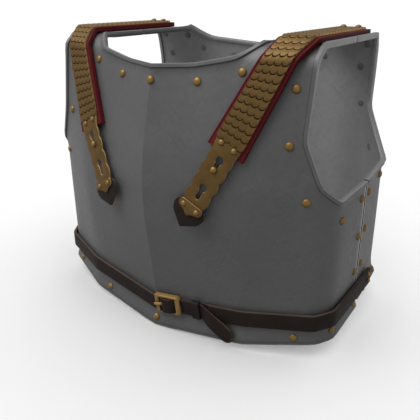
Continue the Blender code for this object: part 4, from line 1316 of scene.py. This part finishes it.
def add_strap_rivets(breast, looks, paths):
    """Build the rivets of the belt and the straps, and the studs with their shanks down to the plate."""
    heads = bmesh.new()
    for side, path in paths.items():
        word = side_name(side)
        belt = surface(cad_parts[f"belt_{word}"])
        for spot in BELT_RIVETS:
            place, out, _, _ = belt.find_nearest(mirrored(spot, side))
            add_head(heads, seat(belt, place, out, BELT_HEAD.radius), out, BELT_HEAD)
        plate = surface(bpy.data.objects[f"key_plate_{word}"])
        width = (path.rows[-1][1] - path.rows[-1][0]).length
        face, out = mirrored(path.normal(0), side), mirrored(KEY_OUT, side)
        for way in (-1, 1):
            share = 0.5 + BACK_RIVET_ACROSS * way / width
            base = path.at(path.length - BACK_RIVET_MARGIN, share, STRIP_HEIGHT + GAP)
            add_head(heads, mirrored(base, side), Vector((0, 0, 1)), BACK_HEAD)
            across = KEY_ACROSS * FRONT_RIVET_ACROSS * way
            near = mirrored(KEY_ORIGIN + KEY_UP * FRONT_RIVET_UP + across, side)
            add_head(heads, seat(plate, near, face, FRONT_HEAD.radius), face, FRONT_HEAD)
            base = key_point(TIP_RIVET_DOWN, TIP_RIVET_ACROSS * way, KEY_PLATE + GAP + TIP_PLATE)
            add_head(heads, mirrored(base, side), out, TIP_HEAD)
        stud = bmesh.new()
        base = mirrored(key_point(STUD_DOWN, 0, KEY_PLATE + GAP), side)
        foot = surface(breast).ray_cast(base, -out)[3]
        add_head(stud, base, out, STUD_HEAD, STUD_SHANK, foot)
        add(f"stud_{word}", stud, (looks.bright,), (f"strap_stud_{word}",), ROUND_SMOOTH)
    add("strap_rivets", heads, (looks.bright,), rivet_nodes("belt", "strap"), ROUND_SMOOTH)


# Studio


def add_camera():
    data = bpy.data.cameras.new("camera")
    data.lens = LENS
    data.sensor_width = SENSOR
    camera = linked(bpy.data.objects.new("camera", data))
    x, depth, z = CAMERA_AT
    camera.location = Vector((x, depth - DEPTH_ORIGIN, z)) * MM
    camera.rotation_euler = (math.radians(90 - ELEVATION), 0, math.radians(AZIMUTH))
    bpy.context.scene.camera = camera


def add_studio():
    """Add the pale floor and the even light, and a broad sun that lights all but the floor."""
    bpy.ops.mesh.primitive_plane_add(size=FLOOR_SIZE)
    floor = bpy.context.object
    floor.name = "studio_floor"
    floor.data.materials.append(Nodes(FLOOR).material)
    world = bpy.data.worlds.new("studio")
    world.use_nodes = True
    background = world.node_tree.nodes["Background"].inputs
    background["Color"].default_value = (1, 1, 1, 1)
    background["Strength"].default_value = WORLD
    bpy.context.scene.world = world
    lit = bpy.data.collections.new("all but the floor")
    lit.objects.link(floor)
    lit.collection_objects[0].light_linking.link_state = "EXCLUDE"
    data = bpy.data.lights.new("sun", "SUN")
    data.energy = SUN
    data.angle = math.radians(SUN_SPREAD)
    sun = linked(bpy.data.objects.new("sun", data))
    sun.light_linking.receiver_collection = lit
    sun.rotation_euler = Vector(SUN_FROM).to_track_quat("Z", "Y").to_euler()
    bpy.context.scene.view_settings.view_transform = "Standard"


def main():
    add_camera()
    looks = all_looks()
    shading = smooth_node()
    breast = shell("breastplate_steel", BREAST, looks, "breastplate")
    back = shell("backplate_steel", BACK, looks, "backplate")
    paths = {side: add_scales(side, looks) for side in (1, -1)}
    for side in (1, -1):
        add_backing(side, looks)
        add_key_plate(side, looks)
    add_belts(looks)
    dress("buckle_frame", looks.cast, shading, FRAME_BEVEL)
    dress("buckle_bar", looks.cast, shading)
    dress("buckle_prong", looks.cast, shading)
    add_plate_rivets(breast, "breast", PLATE_RIVETS, looks, rivet_nodes("neck", "arm", "seam", "hem"))
    add_plate_rivets(back, "back", BACK_RIVETS, looks)
    add_strap_rivets(breast, looks, paths)
    add_studio()


main()
bpy.context.view_layer.update()
